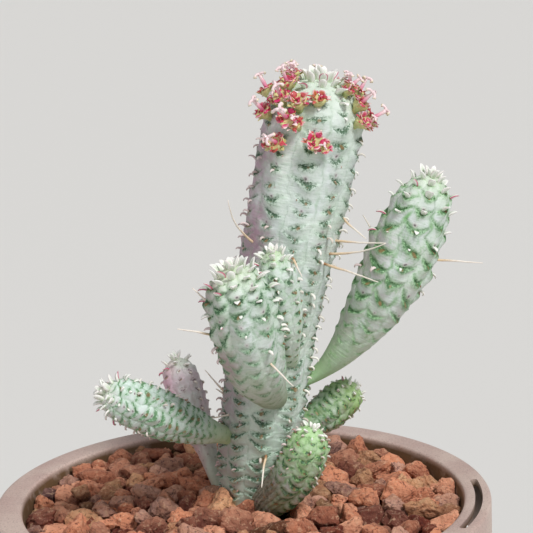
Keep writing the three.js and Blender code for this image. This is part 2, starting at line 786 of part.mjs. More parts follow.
/** A chip of lava: a box with its corners knocked in, turned and tilted. */
function chip(random) {
  const between = (low, high) => THREE.MathUtils.lerp(low, high, random());
  const size = STONE_SIZE * between(...STONE_SPREAD);
  const box = new THREE.BoxGeometry(size, size * between(STONE_FLAT, 1), size * STONE_FLAT);
  const merged = mergeVertices(box.deleteAttribute("normal").deleteAttribute("uv"), WELD);
  const corners = merged.attributes.position;
  for (let i = 0; i < corners.count; i++) {
    const knock = () => between(1, 1 - STONE_KNOCK);
    corners.setXYZ(i, corners.getX(i) * knock(), corners.getY(i) * knock(), corners.getZ(i) * knock());
  }
  merged.rotateX(between(-STONE_TILT, STONE_TILT));
  merged.rotateY(between(-STONE_TILT, STONE_TILT));
  merged.rotateZ(between(0, 2 * Math.PI));
  return merged;
}

/** The gravel's rough bed: a slab whose top is a grid of knocked-about heights. */
function roughBed(random) {
  const reach = RIM_RADIUS;
  const count = Math.ceil((2 * reach) / BED_GRID);
  const slab = new THREE.BoxGeometry(2 * reach, 2 * reach, BED_DEPTH, count, count, 1);
  const merged = mergeVertices(slab.deleteAttribute("normal").deleteAttribute("uv"), WELD);
  const vertices = merged.attributes.position;
  for (let i = 0; i < vertices.count; i++) {
    const [x, y] = [vertices.getX(i), vertices.getY(i)];
    if (vertices.getZ(i) < 0) {
      vertices.setZ(i, SOIL_TOP - BED_DEPTH);
      continue;
    }
    const height = gravelHeight(Math.hypot(x, y)) + BED_ROUGH * (random() - BED_LOWER);
    const shuffle = Math.max(Math.abs(x), Math.abs(y)) < reach - WELD ? BED_GRID * BED_SHUFFLE : 0;
    vertices.setXYZ(i, x + shuffle * (random() - 0.5), y + shuffle * (random() - 0.5), height);
  }
  return solid(merged);
}

/** The gravel: a heaped rough bed with larger chips of lava lying in it, kept off the wall. */
function gravel(holes) {
  const random = seeded(STONE_SEED);
  const inside = RIM_RADIUS - RIM_WIDTH;
  const parts = [roughBed(random)];
  const turnStep = Math.PI * (3 - Math.sqrt(5)); // the golden angle, which spreads the chips evenly
  for (let i = 0; i < STONE_COUNT; i++) {
    const radius = (inside - STONE_MARGIN) * Math.sqrt((i + 0.5) / STONE_COUNT);
    const stone = chip(random);
    const [x, y] = [radius * Math.cos(i * turnStep), radius * Math.sin(i * turnStep)];
    parts.push(solid(stone.translate(x, y, gravelHeight(radius) - STONE_SUNK)));
  }
  const room = turned(
    [
      [0, SOIL_TOP],
      [insideRadius(SOIL_TOP) - GAP, SOIL_TOP],
      [inside - GAP, POT_HEIGHT],
      [inside - GAP, POT_HEIGHT + HEAP_ROOM],
      [0, POT_HEIGHT + HEAP_ROOM],
    ],
    POT_SIDES,
  );
  return fuse([wasm.Manifold.union(parts).intersect(room).subtract(holes)], GRAVEL_TOLERANCE);
}

// ---------------------------------------------------------------------------------------------
// Assembly
// ---------------------------------------------------------------------------------------------

const plant = new THREE.Group();
const branches = Object.keys(STEMS).slice(1);
const standing = ["trunk", "branch_back", "branch_foot"].map((name) => envelope(STEMS[name]));
const holes = wasm.Manifold.union(standing);
const gravelBed = gravel(holes);
plant.add(mesh("pot", pot(), "pot"));
plant.add(mesh("soil", soil(holes), "soil"));
plant.add(mesh("gravel", gravelBed, "gravel"));

const trunkClear = cob(STEMS.trunk, GAP);
const blooms = BLOOMS.map((_, i) => bloom(i, trunkClear));
const cobs = branches.map((name) => cob(STEMS[name], GAP));
const trunk = leafyStem("trunk", wasm.Manifold.union([gravelBed, ...blooms, ...cobs]));
plant.add(mesh("trunk", trunk, "stem"));

let grown = wasm.Manifold.union([gravelBed, ...blooms, trunk]);
branches.forEach((name, i) => {
  const others = wasm.Manifold.union([grown, ...cobs.slice(i + 1)]);
  const branch = largest(leafyStem(name, others).subtract(trunkClear).simplify(TOLERANCE));
  plant.add(mesh(name, branch, "stem"));
  grown = grown.add(branch);
});
blooms.forEach((made, i) => {
  plant.add(mesh("bloom_" + String(i + 1).padStart(2, "0"), made, "bloom"));
});

export default plant;
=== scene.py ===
import math

import bmesh
import bpy
import numpy as np
from mathutils import Matrix, Vector


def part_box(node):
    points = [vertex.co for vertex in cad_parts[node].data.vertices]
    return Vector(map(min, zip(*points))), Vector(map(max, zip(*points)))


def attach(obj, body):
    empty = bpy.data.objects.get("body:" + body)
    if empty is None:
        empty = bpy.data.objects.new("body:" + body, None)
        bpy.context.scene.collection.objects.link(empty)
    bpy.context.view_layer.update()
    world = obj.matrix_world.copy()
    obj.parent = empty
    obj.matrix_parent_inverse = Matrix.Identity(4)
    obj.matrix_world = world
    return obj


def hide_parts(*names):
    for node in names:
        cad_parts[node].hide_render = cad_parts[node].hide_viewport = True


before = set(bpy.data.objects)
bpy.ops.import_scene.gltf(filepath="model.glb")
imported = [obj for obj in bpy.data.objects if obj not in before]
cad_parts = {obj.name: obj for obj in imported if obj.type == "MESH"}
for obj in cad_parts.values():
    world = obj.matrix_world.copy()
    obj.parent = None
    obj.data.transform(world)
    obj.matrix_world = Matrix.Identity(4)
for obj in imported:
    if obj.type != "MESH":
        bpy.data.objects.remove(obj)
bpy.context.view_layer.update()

# ----------------------------------------------------------
# Pot: a grower's round pot, injection-moulded in one piece from pinkish-beige plastic, with a flat
# rim, a turned-down lip, a slot for a plant label and four drain holes. Years of dust have dulled it.
MM = 0.001
POT_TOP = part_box("pot")[1].z / MM
RIM_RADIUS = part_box("pot")[1].x / MM
RIM_WIDTH = 8
RIM_THICK = 2.2
LIP_DEPTH = 20
LIP_THICK = 1.7
WALL = 2
FOOT_RADIUS = 50
FOOT_RING_WIDTH = 5
FOOT_RING_HEIGHT = 3
POT_FLOOR = 5.5
POT_SIDES = 288
SLOT_INNER = 70.1
SLOT_WIDTH = 2.3
SLOT_ARC = math.radians(33)
SLOT_MIDDLE = math.radians(-9)
SLOT_STEPS = 40
SLOT_CAP_STEPS = 9
DRAIN_COUNT = 4
DRAIN_RADIUS = 4
DRAIN_RING = 30
DRAIN_SIDES = 32
CUT_OVER = 1
MOUTH = RIM_RADIUS - RIM_WIDTH


def tint(red, green, blue):
    """A colour as it looks on a screen, 0 to 255, as the linear colour that a shader takes."""
    shares = [c / 255 for c in (red, green, blue)]
    linear = [c / 12.92 if c <= 0.04045 else ((c + 0.055) / 1.055) ** 2.4 for c in shares]
    return (*linear, 1.0)


def node(tree, kind, inputs=None, **settings):
    """Adds a shader node with its settings, and fills its inputs with values or other sockets."""
    made = tree.nodes.new(kind)
    for name, value in settings.items():
        setattr(made, name, value)
    for name, value in (inputs or {}).items():
        if isinstance(value, bpy.types.NodeSocket):
            tree.links.new(value, made.inputs[name])
        else:
            made.inputs[name].default_value = value
    return made


def maths(tree, how, *values):
    """The result of a sum on sockets or numbers."""
    return node(tree, "ShaderNodeMath", dict(enumerate(values)), operation=how).outputs[0]


def fade(tree, value, start, end):
    """A mask that eases from 0 where the value is at start to 1 where it is at end."""
    limits = {"Value": value, "From Min": start, "From Max": end}
    return node(tree, "ShaderNodeMapRange", limits, interpolation_type="SMOOTHSTEP").outputs[0]


def blend(tree, share, under, over, how="MIX"):
    """The colour under another that covers it by a share."""
    sockets = {0: share, 6: under, 7: over}
    return node(tree, "ShaderNodeMix", sockets, data_type="RGBA", blend_type=how).outputs[2]


def place(tree, stretch=(1, 1, 1)):
    """Where a point of a piece is, in millimetres, stretched for a pattern."""
    at = node(tree, "ShaderNodeTexCoord").outputs["Object"]
    scale = tuple(s / MM for s in stretch)
    return node(tree, "ShaderNodeMapping", {"Vector": at, "Scale": scale}).outputs[0]


def coat(tree, under, over, share, strength):
    """The colour under another that covers it by a share times a strength."""
    return blend(tree, maths(tree, "MULTIPLY", share, strength), under, over)


def cloudy(tree, size, detail=3, rough=0.55, stretch=(1, 1, 1)):
    """A soft random value about 0.5, in lumps of a size in millimetres."""
    inputs = {"Vector": place(tree, stretch), "Scale": 1 / size, "Detail": detail, "Roughness": rough}
    return node(tree, "ShaderNodeTexNoise", inputs).outputs[0]


def node_group(name, takes, gives):
    """A shader group with named inputs, each with its usual value, and named outputs."""
    tree = bpy.data.node_groups.new(name, "ShaderNodeTree")
    for socket, value in takes.items():
        kind = "NodeSocketColor" if isinstance(value, tuple) else "NodeSocketFloat"
        tree.interface.new_socket(socket, in_out="INPUT", socket_type=kind).default_value = value
    for socket, kind in gives.items():
        tree.interface.new_socket(socket, in_out="OUTPUT", socket_type=kind)
    return tree, node(tree, "NodeGroupInput").outputs, node(tree, "NodeGroupOutput").inputs


def finish_of(name, roughness, **settings):
    """A new material's node tree and its shader, with a plain roughness to start from."""
    material = bpy.data.materials.new(name)
    material.use_nodes = True
    tree = material.node_tree
    shader = tree.nodes["Principled BSDF"]
    shader.inputs["Roughness"].default_value = roughness
    for socket, value in settings.items():
        shader.inputs[socket.replace("_", " ")].default_value = value
    return material, tree, shader


def placed(tree, group, **values):
    """A shader group's outputs in a material that gives it its own values or masks."""
    inputs = {name.replace("_", " "): value for name, value in values.items()}
    return node(tree, "ShaderNodeGroup", inputs, node_tree=group).outputs


def dress(tree, shader, colour, height, depth):
    """Gives a surface its colour, and raises it by a height from 0 to 1 times a depth in millimetres."""
    tree.links.new(colour, shader.inputs["Base Color"])
    bump = node(tree, "ShaderNodeBump", {"Height": height, "Distance": depth * MM})
    tree.links.new(bump.outputs[0], shader.inputs["Normal"])


# Fine dirt on any surface: a mask of small specks and a broader veil of dust.
grit, takes, gives = node_group(
    "grit",
    {"Speck Size": 0.9, "Speck Share": 0.3, "Dust Size": 14.0},
    {"Specks": "NodeSocketFloat", "Dust": "NodeSocketFloat", "Height": "NodeSocketFloat"},
)
noises = []
for size, detail in ((takes["Speck Size"], 2.0), (takes["Dust Size"], 6.0)):
    shrunk = {0: place(grit), "Scale": maths(grit, "DIVIDE", 1.0, size)}
    at = node(grit, "ShaderNodeVectorMath", shrunk, operation="SCALE").outputs[0]
    lumps = {"Vector": at, "Scale": 1.0, "Detail": detail}
    noises.append(node(grit, "ShaderNodeTexNoise", lumps).outputs[0])
speck_start = maths(grit, "MULTIPLY_ADD", takes["Speck Share"], -0.5, 0.85)
speck_end = maths(grit, "ADD", speck_start, 0.07)
grit.links.new(fade(grit, noises[0], speck_start, speck_end), gives["Specks"])
grit.links.new(fade(grit, noises[1], 0.35, 0.65), gives["Dust"])
grit.links.new(noises[0], gives["Height"])


def field(tree, name):
    """A number that mesh_piece() or paint() has put on every point."""
    return node(tree, "ShaderNodeAttribute", attribute_name=name).outputs["Fac"]


def paint(obj, **fields):
    """Puts a named number on every point of a piece, for its material to read."""
    for name, values in fields.items():
        layer = obj.data.attributes.new(name, "FLOAT", "POINT")
        layer.data.foreach_set("value", np.ascontiguousarray(values, np.float32).ravel())


def mesh_piece(name, points, faces, *materials, looks=None, **fields):
    """A smooth piece of the plant from points in millimetres, riding on the plant's one body."""
    mesh = bpy.data.meshes.new(name)
    mesh.from_pydata((np.asarray(points).reshape(-1, 3) * MM).tolist(), [], faces)
    mesh.shade_smooth()
    for material in materials:
        mesh.materials.append(material)
    if looks is not None:
        mesh.polygons.foreach_set("material_index", looks)
    made = bpy.data.objects.new(name, mesh)
    bpy.context.scene.collection.objects.link(made)
    paint(made, **fields)
    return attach(made, "root")


def turns(steps):
    """Angles evenly spaced round a circle."""
    return np.linspace(0, 2 * math.pi, steps, endpoint=False)


def heading(angle):
    """The level direction at an angle round Z."""
    return np.array([math.cos(angle), math.sin(angle), 0])


def bands(rows, sides):
    """The quads between successive rings of points."""
    i, k = np.meshgrid(np.arange(rows - 1), np.arange(sides), indexing="ij")
    here, beside = i * sides + k, i * sides + (k + 1) % sides
    return np.stack([here, beside, beside + sides, here + sides], -1).reshape(-1, 4)


def closed(rings, ends):
    """Points and faces of a run of rings that closes in a point at each end."""
    rows, sides, _ = rings.shape
    tip, last = rows * sides, (rows - 1) * sides
    faces = bands(rows, sides).tolist()
    for k in range(sides):
        beside = (k + 1) % sides
        faces.append([beside, k, tip])
        faces.append([last + k, last + beside, tip + 1])
    return np.vstack([rings.reshape(-1, 3), ends]), faces


def filleted(corners, steps=4):
    """A profile whose corners [radius, height, fillet] are rounded."""
    made = []
    for i, (r, z, fillet) in enumerate(corners):
        here = np.array([r, z], float)
        if not fillet:
            made.append(here)
            continue
        before = np.array(corners[i - 1][:2], float) - here
        after = np.array(corners[i + 1][:2], float) - here
        start = here + before / np.linalg.norm(before) * fillet
        end = here + after / np.linalg.norm(after) * fillet
        for t in np.linspace(0, 1, steps + 1):
            made.append((1 - t) ** 2 * start + 2 * t * (1 - t) * here + t * t * end)
    return np.array(made)


def inside_radius(z):
    """The inner radius of the pot's wall at a height."""
    low = FOOT_RADIUS - WALL
    return low + (MOUTH - low) * (z - POT_FLOOR) / (POT_TOP - POT_FLOOR)


def turned(profile, sides):
    """Points and faces of a profile turned about Z, whose two ends lie on the axis."""
    turn = turns(sides)
    r, z = profile[1:-1, :1], profile[1:-1, 1:]
    rings = np.stack([r * np.cos(turn), r * np.sin(turn), z + 0 * turn], -1)
    return closed(rings, [[0, 0, profile[0, 1]], [0, 0, profile[-1, 1]]])


def prism(outline, bottom, top):
    """Points and faces of an upright bar with an outline of level points."""
    count = len(outline)
    points = [[x, y, z] for z in (bottom, top) for x, y, _ in outline]
    sides = [[k, (k + 1) % count, (k + 1) % count + count, k + count] for k in range(count)]
    return points, [list(range(count))[::-1], list(range(count, 2 * count)), *sides]


def slot_outline():
    """The label slot's outline: an arc-shaped bar with rounded ends."""
    spread = np.linspace(-SLOT_ARC / 2, SLOT_ARC / 2, SLOT_STEPS) + SLOT_MIDDLE
    half = SLOT_WIDTH / 2
    ring = SLOT_INNER + half
    sides = []
    for way, run in ((1, spread), (-1, spread[::-1])):
        sides += [(ring + way * half) * heading(a) for a in run]
        at = heading(run[-1])
        onward = way * np.array([-at[1], at[0], 0])
        cap = np.linspace(0, math.pi, SLOT_CAP_STEPS)[1:-1]
        sides += [ring * at + half * (at * way * math.cos(t) + onward * math.sin(t)) for t in cap]
    return sides


def carve(obj, cutters):
    """Cuts closed shapes out of a piece, and removes the shapes."""
    points, faces = [], []
    for some_points, some_faces in cutters:
        faces += [[corner + len(points) for corner in face] for face in some_faces]
        points += [list(p) for p in some_points]
    tool = mesh_piece(obj.name + "_cutter", points, faces)
    cut = obj.modifiers.new("cut", "BOOLEAN")
    cut.operation = "DIFFERENCE"
    cut.object = tool
    evaluated = obj.evaluated_get(bpy.context.evaluated_depsgraph_get())
    mesh = bpy.data.meshes.new_from_object(evaluated)
    obj.modifiers.clear()
    obj.data = mesh
    bpy.data.objects.remove(tool)


pot_plastic, tree, shader = finish_of("pot_plastic", 0.5, Coat_Weight=0.12, Coat_Roughness=0.35)
clean, faded, dark_speck = tint(192, 164, 154), tint(206, 184, 172), tint(118, 98, 90)
pale_grain, grime = tint(222, 204, 196), tint(104, 78, 50)
dirt = placed(tree, grit, Speck_Size=0.55, Speck_Share=0.6, Dust_Size=17)
cover = blend(tree, dirt["Dust"], clean, faded)
cover = coat(tree, cover, dark_speck, dirt["Specks"], 0.32)
cover = coat(tree, cover, pale_grain, fade(tree, cloudy(tree, 0.9, 3, 0.7), 0.5, 0.7), 0.3)
# Brown below the rim: a real watering crust inside the pot, and painted shade under the lip.
crust_and_shade_mask = maths(tree, "MULTIPLY", field(tree, "grime"), fade(tree, cloudy(tree, 6), 0.1, 0.5))
cover = blend(tree, crust_and_shade_mask, cover, grime)
worn = maths(tree, "MULTIPLY_ADD", dirt["Dust"], 0.18, 0.42)
tree.links.new(maths(tree, "MULTIPLY_ADD", crust_and_shade_mask, 0.25, worn), shader.inputs["Roughness"])
dress(tree, shader, cover, maths(tree, "ADD", dirt["Height"], cloudy(tree, 5)), 0.12)

under_rim = POT_TOP - RIM_THICK
lip_end = POT_TOP - LIP_DEPTH
wall_lean = (inside_radius(under_rim) + WALL - FOOT_RADIUS) / under_rim
pot_profile = filleted(
    [
        [0, FOOT_RING_HEIGHT, 0],
        [FOOT_RADIUS - FOOT_RING_WIDTH, FOOT_RING_HEIGHT, 0.5],
        [FOOT_RADIUS - FOOT_RING_WIDTH, 0, 0.5],
        [FOOT_RADIUS, 0, 1.2],
        *[[FOOT_RADIUS + wall_lean * up, up, 0] for up in (lip_end - 2, lip_end + 3)],
        [inside_radius(under_rim) + WALL, under_rim, 0.9],
        [RIM_RADIUS - LIP_THICK, under_rim, 0.6],
        [RIM_RADIUS - LIP_THICK, lip_end, 0.5],
        [RIM_RADIUS, lip_end, 0.5],
        [RIM_RADIUS, POT_TOP, 1.3],
        [MOUTH, POT_TOP, 0.9],
        *[[inside_radius(POT_TOP - below), POT_TOP - below, 0] for below in (2, 4, 8, 14)],
        [inside_radius(POT_FLOOR), POT_FLOOR, 2],
        [0, POT_FLOOR, 0],
    ]
)
pot = mesh_piece("pot_shell", *turned(pot_profile, POT_SIDES), pot_plastic)
cutters = [prism(slot_outline(), under_rim - RIM_THICK, POT_TOP + RIM_THICK)]
hole = DRAIN_RADIUS * np.array([heading(a) for a in turns(DRAIN_SIDES)])
for turn in turns(DRAIN_COUNT) + math.pi / DRAIN_COUNT:
    ring = DRAIN_RING * heading(turn) + hole
    cutters.append(prism(ring, FOOT_RING_HEIGHT - CUT_OVER, POT_FLOOR + CUT_OVER))
carve(pot, cutters)

# Watering has left a brown crust on the inside; under the lip the same brown is painted shade. Both start
# from just below the rim's edge.
CRUST_AND_SHADE_START = 0.3
CRUST_AND_SHADE_FADE = 1.6
spots = np.array([v.co for v in pot.data.vertices]) / MM
reach, height = np.hypot(spots[:, 0], spots[:, 1]), spots[:, 2]
inside = reach < inside_radius(height) + WALL / 2
under_lip = (reach < RIM_RADIUS - LIP_THICK + 0.2) & (height > lip_end + 1)
depth = np.clip((POT_TOP - CRUST_AND_SHADE_START - height) / CRUST_AND_SHADE_FADE, 0, 1)
paint(pot, grime=(inside | under_lip) * depth)
pot.data.set_sharp_from_angle(angle=math.radians(40))
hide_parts("pot")

# ----------------------------------------------------------
# Soil: gritty potting mix that fills the pot to under the gravel, packed in by hand. It is the CAD
# model's own solid, and only drain holes and gaps between stones let it be seen.
soil_mix, tree, shader = finish_of("soil_mix", 0.95)
peat = blend(tree, fade(tree, cloudy(tree, 3), 0.4, 0.6), tint(52, 36, 26), tint(92, 68, 50))
crumbs = placed(tree, grit, Speck_Size=1.2, Speck_Share=0.6, Dust_Size=8)
peat = blend(tree, crumbs["Specks"], peat, tint(150, 128, 105))
dress(tree, shader, peat, maths(tree, "ADD", cloudy(tree, 2), crumbs["Height"]), 0.9)
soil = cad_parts["soil"]
soil.data.materials.clear()
soil.data.materials.append(soil_mix)

# ----------------------------------------------------------
# Gravel: crushed red lava, strewn loose over the soil in two layers and heaped a little towards the
# trunk. Each stone is a broken, pitted chip, from orange-red and salmon to tan, brown and purple.
SOIL_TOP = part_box("soil")[1].z / MM
GRAVEL_DROP = 3.8
GRAVEL_CROWN = 5
HEAP_PLACE = (-44, 44)
HEAP_SPREAD = 19
HEAP_RISE = 3
TOP_STONES = 250
LOWER_STONES = 230
STONE_SIZES = (2.6, 6.0)
STONE_FACETS = 15
STONE_CUTS = (0.55, 0.95)
STONE_SKIN = 1.15
STONE_SHARPNESS = 34
STONE_FILL = 1.06
STONE_SINK = 0.25
STONE_JITTER = 1.1
STONE_WALL_GAP = 0.25
STONE_TONES = (0.42, 0.38)
PAINTED_TOP_LIGHT = 0.5
START_GAP = 4
PUSH_ROUNDS = 160
PUSH_SHARE = 0.3
PUSH_WALL_GAP = 0.3
FAMILY_SHARES = {"red": 0.3, "salmon": 0.3, "tan": 0.18, "purple": 0.22}
# Each stem that stands in the gravel is [x, y, radius].
STEMS_IN_GRAVEL = [[4.4, 1.6, 10.6], [9, -11.6, 5.2], [-8, 12, 2]]


def gravel_height(x, y):
    """The height of the gravel's mean surface: heaped to the middle, and against the wall behind."""
    crown = GRAVEL_CROWN * (1 - (x * x + y * y) / MOUTH**2)
    heap_gap = (x - HEAP_PLACE[0]) ** 2 + (y - HEAP_PLACE[1]) ** 2
    return POT_TOP - GRAVEL_DROP + crown + HEAP_RISE * np.exp(-heap_gap / HEAP_SPREAD**2)


def ripple(points, size, seed, octaves=3):
    """Smooth noise from about -1 to 1, in lumps of a size, at many points."""
    draw = np.random.default_rng(seed)
    total = np.zeros(points.shape[:-1])
    for octave in range(octaves):
        for _ in range(7):
            way = draw.normal(size=3)
            way *= math.pi / (size * 0.5**octave * np.linalg.norm(way))
            total += 0.5**octave * np.sin(points @ way + draw.uniform(0, 2 * math.pi))
    return total / 4.5


def settle(count, draw, spread=1.0):
    """Places for stones of mixed sizes that push each other apart until they lie side by side."""
    sizes = draw.uniform(*STONE_SIZES, count)
    turn = draw.uniform(0, 2 * math.pi, count)
    reach = (MOUTH - START_GAP) * np.sqrt(draw.random(count))
    at = np.stack([reach * np.cos(turn), reach * np.sin(turn)], -1)
    for _ in range(PUSH_ROUNDS):
        away = at[:, None] - at[None]
        gap = np.linalg.norm(away, axis=-1) + np.eye(count) * 1e3 + 1e-6
        push = np.clip((sizes[:, None] + sizes[None]) * spread - gap, 0, None) / gap
        at = at + PUSH_SHARE * (away * push[..., None]).sum(1)
        for x, y, radius in STEMS_IN_GRAVEL:
            off = at - (x, y)
            far = np.linalg.norm(off, axis=1)
            at += off * (np.clip(radius + sizes * 0.8 - far, 0, None) / far)[:, None]
        far = np.linalg.norm(at, axis=1)
        at -= at * (np.clip(far - (MOUTH - PUSH_WALL_GAP - sizes), 0, None) / far)[:, None]
    return at, sizes


def lava_stone(ball, draw):
    """One stone about 2 across: a ball cut by random planes into rough facets."""
    planes = draw.normal(size=(STONE_FACETS, 3))
    planes /= np.linalg.norm(planes, axis=1)[:, None]
    reach = np.maximum(ball @ planes.T, 0.05)
    limits = draw.uniform(*STONE_CUTS, STONE_FACETS) / reach
    cuts = np.exp(-STONE_SHARPNESS * limits).sum(1) + math.exp(-STONE_SHARPNESS * STONE_SKIN)
    radius = -np.log(cuts) / STONE_SHARPNESS
    seed = int(draw.integers(1 << 30))
    radius += 0.1 * ripple(ball, 0.7, seed) + 0.09 * ripple(ball, 0.28, seed + 1, 2)
    turn = np.linalg.qr(draw.normal(size=(3, 3)))[0]
    stretch = draw.uniform([1.0, 0.85, 0.72], [1.25, 1.05, 0.9])
    return (ball * radius[:, None] * stretch) @ turn * [1, 1, 0.85]


def icosphere(subdivisions):
    """The points and triangles of a round ball, 1 in radius."""
    shape = bmesh.new()
    bmesh.ops.create_icosphere(shape, subdivisions=subdivisions, radius=1)
    points = np.array([v.co for v in shape.verts])
    faces = np.array([[v.index for v in f.verts] for f in shape.faces])
    shape.free()
    return points, faces


# The bed between the stones: dark grit, seen only through the gaps.
BED_DROP = 7
BED_RADIUS = MOUTH - 1.2
BED_RINGS = 34
BED_SIDES = 120
BED_SWELL = 1.1
BED_TAPER = 0.985
BED_BOTTOM = SOIL_TOP + 0.2
grit_bed, tree, shader = finish_of("grit_bed", 0.95)
dark = blend(tree, fade(tree, cloudy(tree, 2.5), 0.35, 0.65), tint(58, 34, 24), tint(104, 62, 42))
dress(tree, shader, dark, cloudy(tree, 1.5), 0.8)
reach = BED_RADIUS * np.linspace(1, 0, BED_RINGS)[:-1, None]
x, y = reach * np.cos(turns(BED_SIDES)), reach * np.sin(turns(BED_SIDES))
bed_top = np.stack([x, y, gravel_height(x, y) - BED_DROP], -1)
bed_top[..., 2] += BED_SWELL * ripple(bed_top, 7, 5)
bed_foot = bed_top[:1] * [BED_TAPER, BED_TAPER, 0] + [0, 0, BED_BOTTOM]
bed_ends = [[0, 0, BED_BOTTOM], [0, 0, gravel_height(0, 0) - BED_DROP]]
bed = mesh_piece("gravel_bed", *closed(np.concatenate([bed_foot, bed_top]), bed_ends), grit_bed)
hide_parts("gravel")

# Crushed lava: a mottled stone with darker pits and pale grains, which are partly its own and partly painted
# shade and painted highlight.
# Its tone runs from dark to light: a random share is the stone's own, and the rest is painted light, lighter
# on each stone's top and darker underneath.
lava, takes, gives = node_group(
    "crushed_lava",
    {"Stone": tint(180, 95, 60), "Patches": tint(150, 70, 45), "Pits": tint(70, 35, 25), "Tone": 0.5},
    {"Colour": "NodeSocketColor", "Height": "NodeSocketFloat"},
)
body = blend(lava, fade(lava, cloudy(lava, 4.5, 4), 0.38, 0.62), takes["Stone"], takes["Patches"])
# A darker and a lighter copy of the stone, mixed by the tone, which carries painted top light.
deep = blend(lava, 1.0, body, tint(136, 118, 116), "MULTIPLY")
light = blend(lava, 0.55, body, tint(252, 186, 146))
body = blend(lava, takes["Tone"], deep, light)
# The pits lie on the bump's low points and the grains on its high points: partly the stone's own pits and
# grains, partly painted shade and painted highlight.
crumbs = cloudy(lava, 1.5, 5, 0.72)
body = coat(lava, body, takes["Pits"], fade(lava, crumbs, 0.47, 0.36), 0.72)
body = coat(lava, body, tint(246, 204, 168), fade(lava, crumbs, 0.52, 0.68), 0.5)
lava.links.new(body, gives["Colour"])
lava.links.new(crumbs, gives["Height"])


def lava_finish(name, stone, patches, pits):
    """One colour family of crushed lava."""
    material, tree, shader = finish_of(name, 0.93)
    made = placed(tree, lava, Stone=stone, Patches=patches, Pits=pits, Tone=field(tree, "tone"))
    dress(tree, shader, made["Colour"], made["Height"], 1.5)
    return material


LAVAS = {
    "red": lava_finish("lava_red", tint(232, 126, 86), tint(198, 96, 68), tint(98, 46, 34)),
    "salmon": lava_finish("lava_salmon", tint(242, 166, 136), tint(214, 128, 102), tint(116, 68, 54)),
    "tan": lava_finish("lava_tan", tint(230, 184, 130), tint(202, 136, 90), tint(108, 72, 48)),
    "purple": lava_finish("lava_purple", tint(184, 148, 150), tint(150, 104, 102), tint(78, 54, 52)),
}

stone_draw = np.random.default_rng(23)
ball, ball_faces = icosphere(4)
# Each layer is [stones, how far apart they are pushed, height over the gravel's mean surface].
LAYERS = [[TOP_STONES, 1.03, -1.3], [LOWER_STONES, 1.06, -5.9]]
families, shares = zip(*FAMILY_SHARES.items())
gathered = {family: [] for family in families}
for count, spread, drop in LAYERS:
    places, sizes = settle(count, stone_draw, spread)
    for (x, y), size in zip(places, sizes):
        stone = lava_stone(ball, stone_draw) * size * STONE_FILL
        rise = gravel_height(x, y) + drop - STONE_SINK * size + stone_draw.normal(0, STONE_JITTER)
        family = stone_draw.choice(families, p=shares)
        stone += [x, y, rise]
        far = np.hypot(stone[:, 0], stone[:, 1])
        wall = inside_radius(np.minimum(stone[:, 2], POT_TOP)) - STONE_WALL_GAP
        held = np.where(stone[:, 2] < POT_TOP + 1, np.minimum(1, wall / far), 1)
        stone[:, :2] *= held[:, None]
        # Painted light: each stone's tone rises towards its top and falls towards its underside.
        painted_top_light = PAINTED_TOP_LIGHT * (stone[:, 2] - rise) / size
        tone = np.clip(stone_draw.normal(*STONE_TONES) + painted_top_light, 0, 1)
        gathered[family].append((stone, tone))
for family, stones in gathered.items():
    points = np.vstack([stone for stone, _ in stones])
    faces = np.vstack([ball_faces + i * len(ball) for i in range(len(stones))]).tolist()
    tones = np.concatenate([tone for _, tone in stones])
    made = mesh_piece("stones_" + family, points, faces, LAVAS[family], tone=tones)
    made.data.shade_flat()
    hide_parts("gravel")

# ----------------------------------------------------------
# Stems: the living trunk and its seven branches, each a fleshy cob of tubercles in ribs. A leaf scar
# marks the top of each tubercle, with a bud above it. The waxy skin is pale mint, with dark green creases
# that are partly its own colour and partly painted shade.
POLE_RADIUS = 1.8
NECK_SHARE = 0.9
DOME_SHARE = 0.6
TIGHT_FROM = 0.78
TIGHT_TO = 0.66
SPLINE_STEPS = 200
MERIDIAN_STEPS = 600
OLD_HEIGHT = 62
OLD_FADE = 40
BACKWARD = np.array([0.0, 1.0, 0.0])

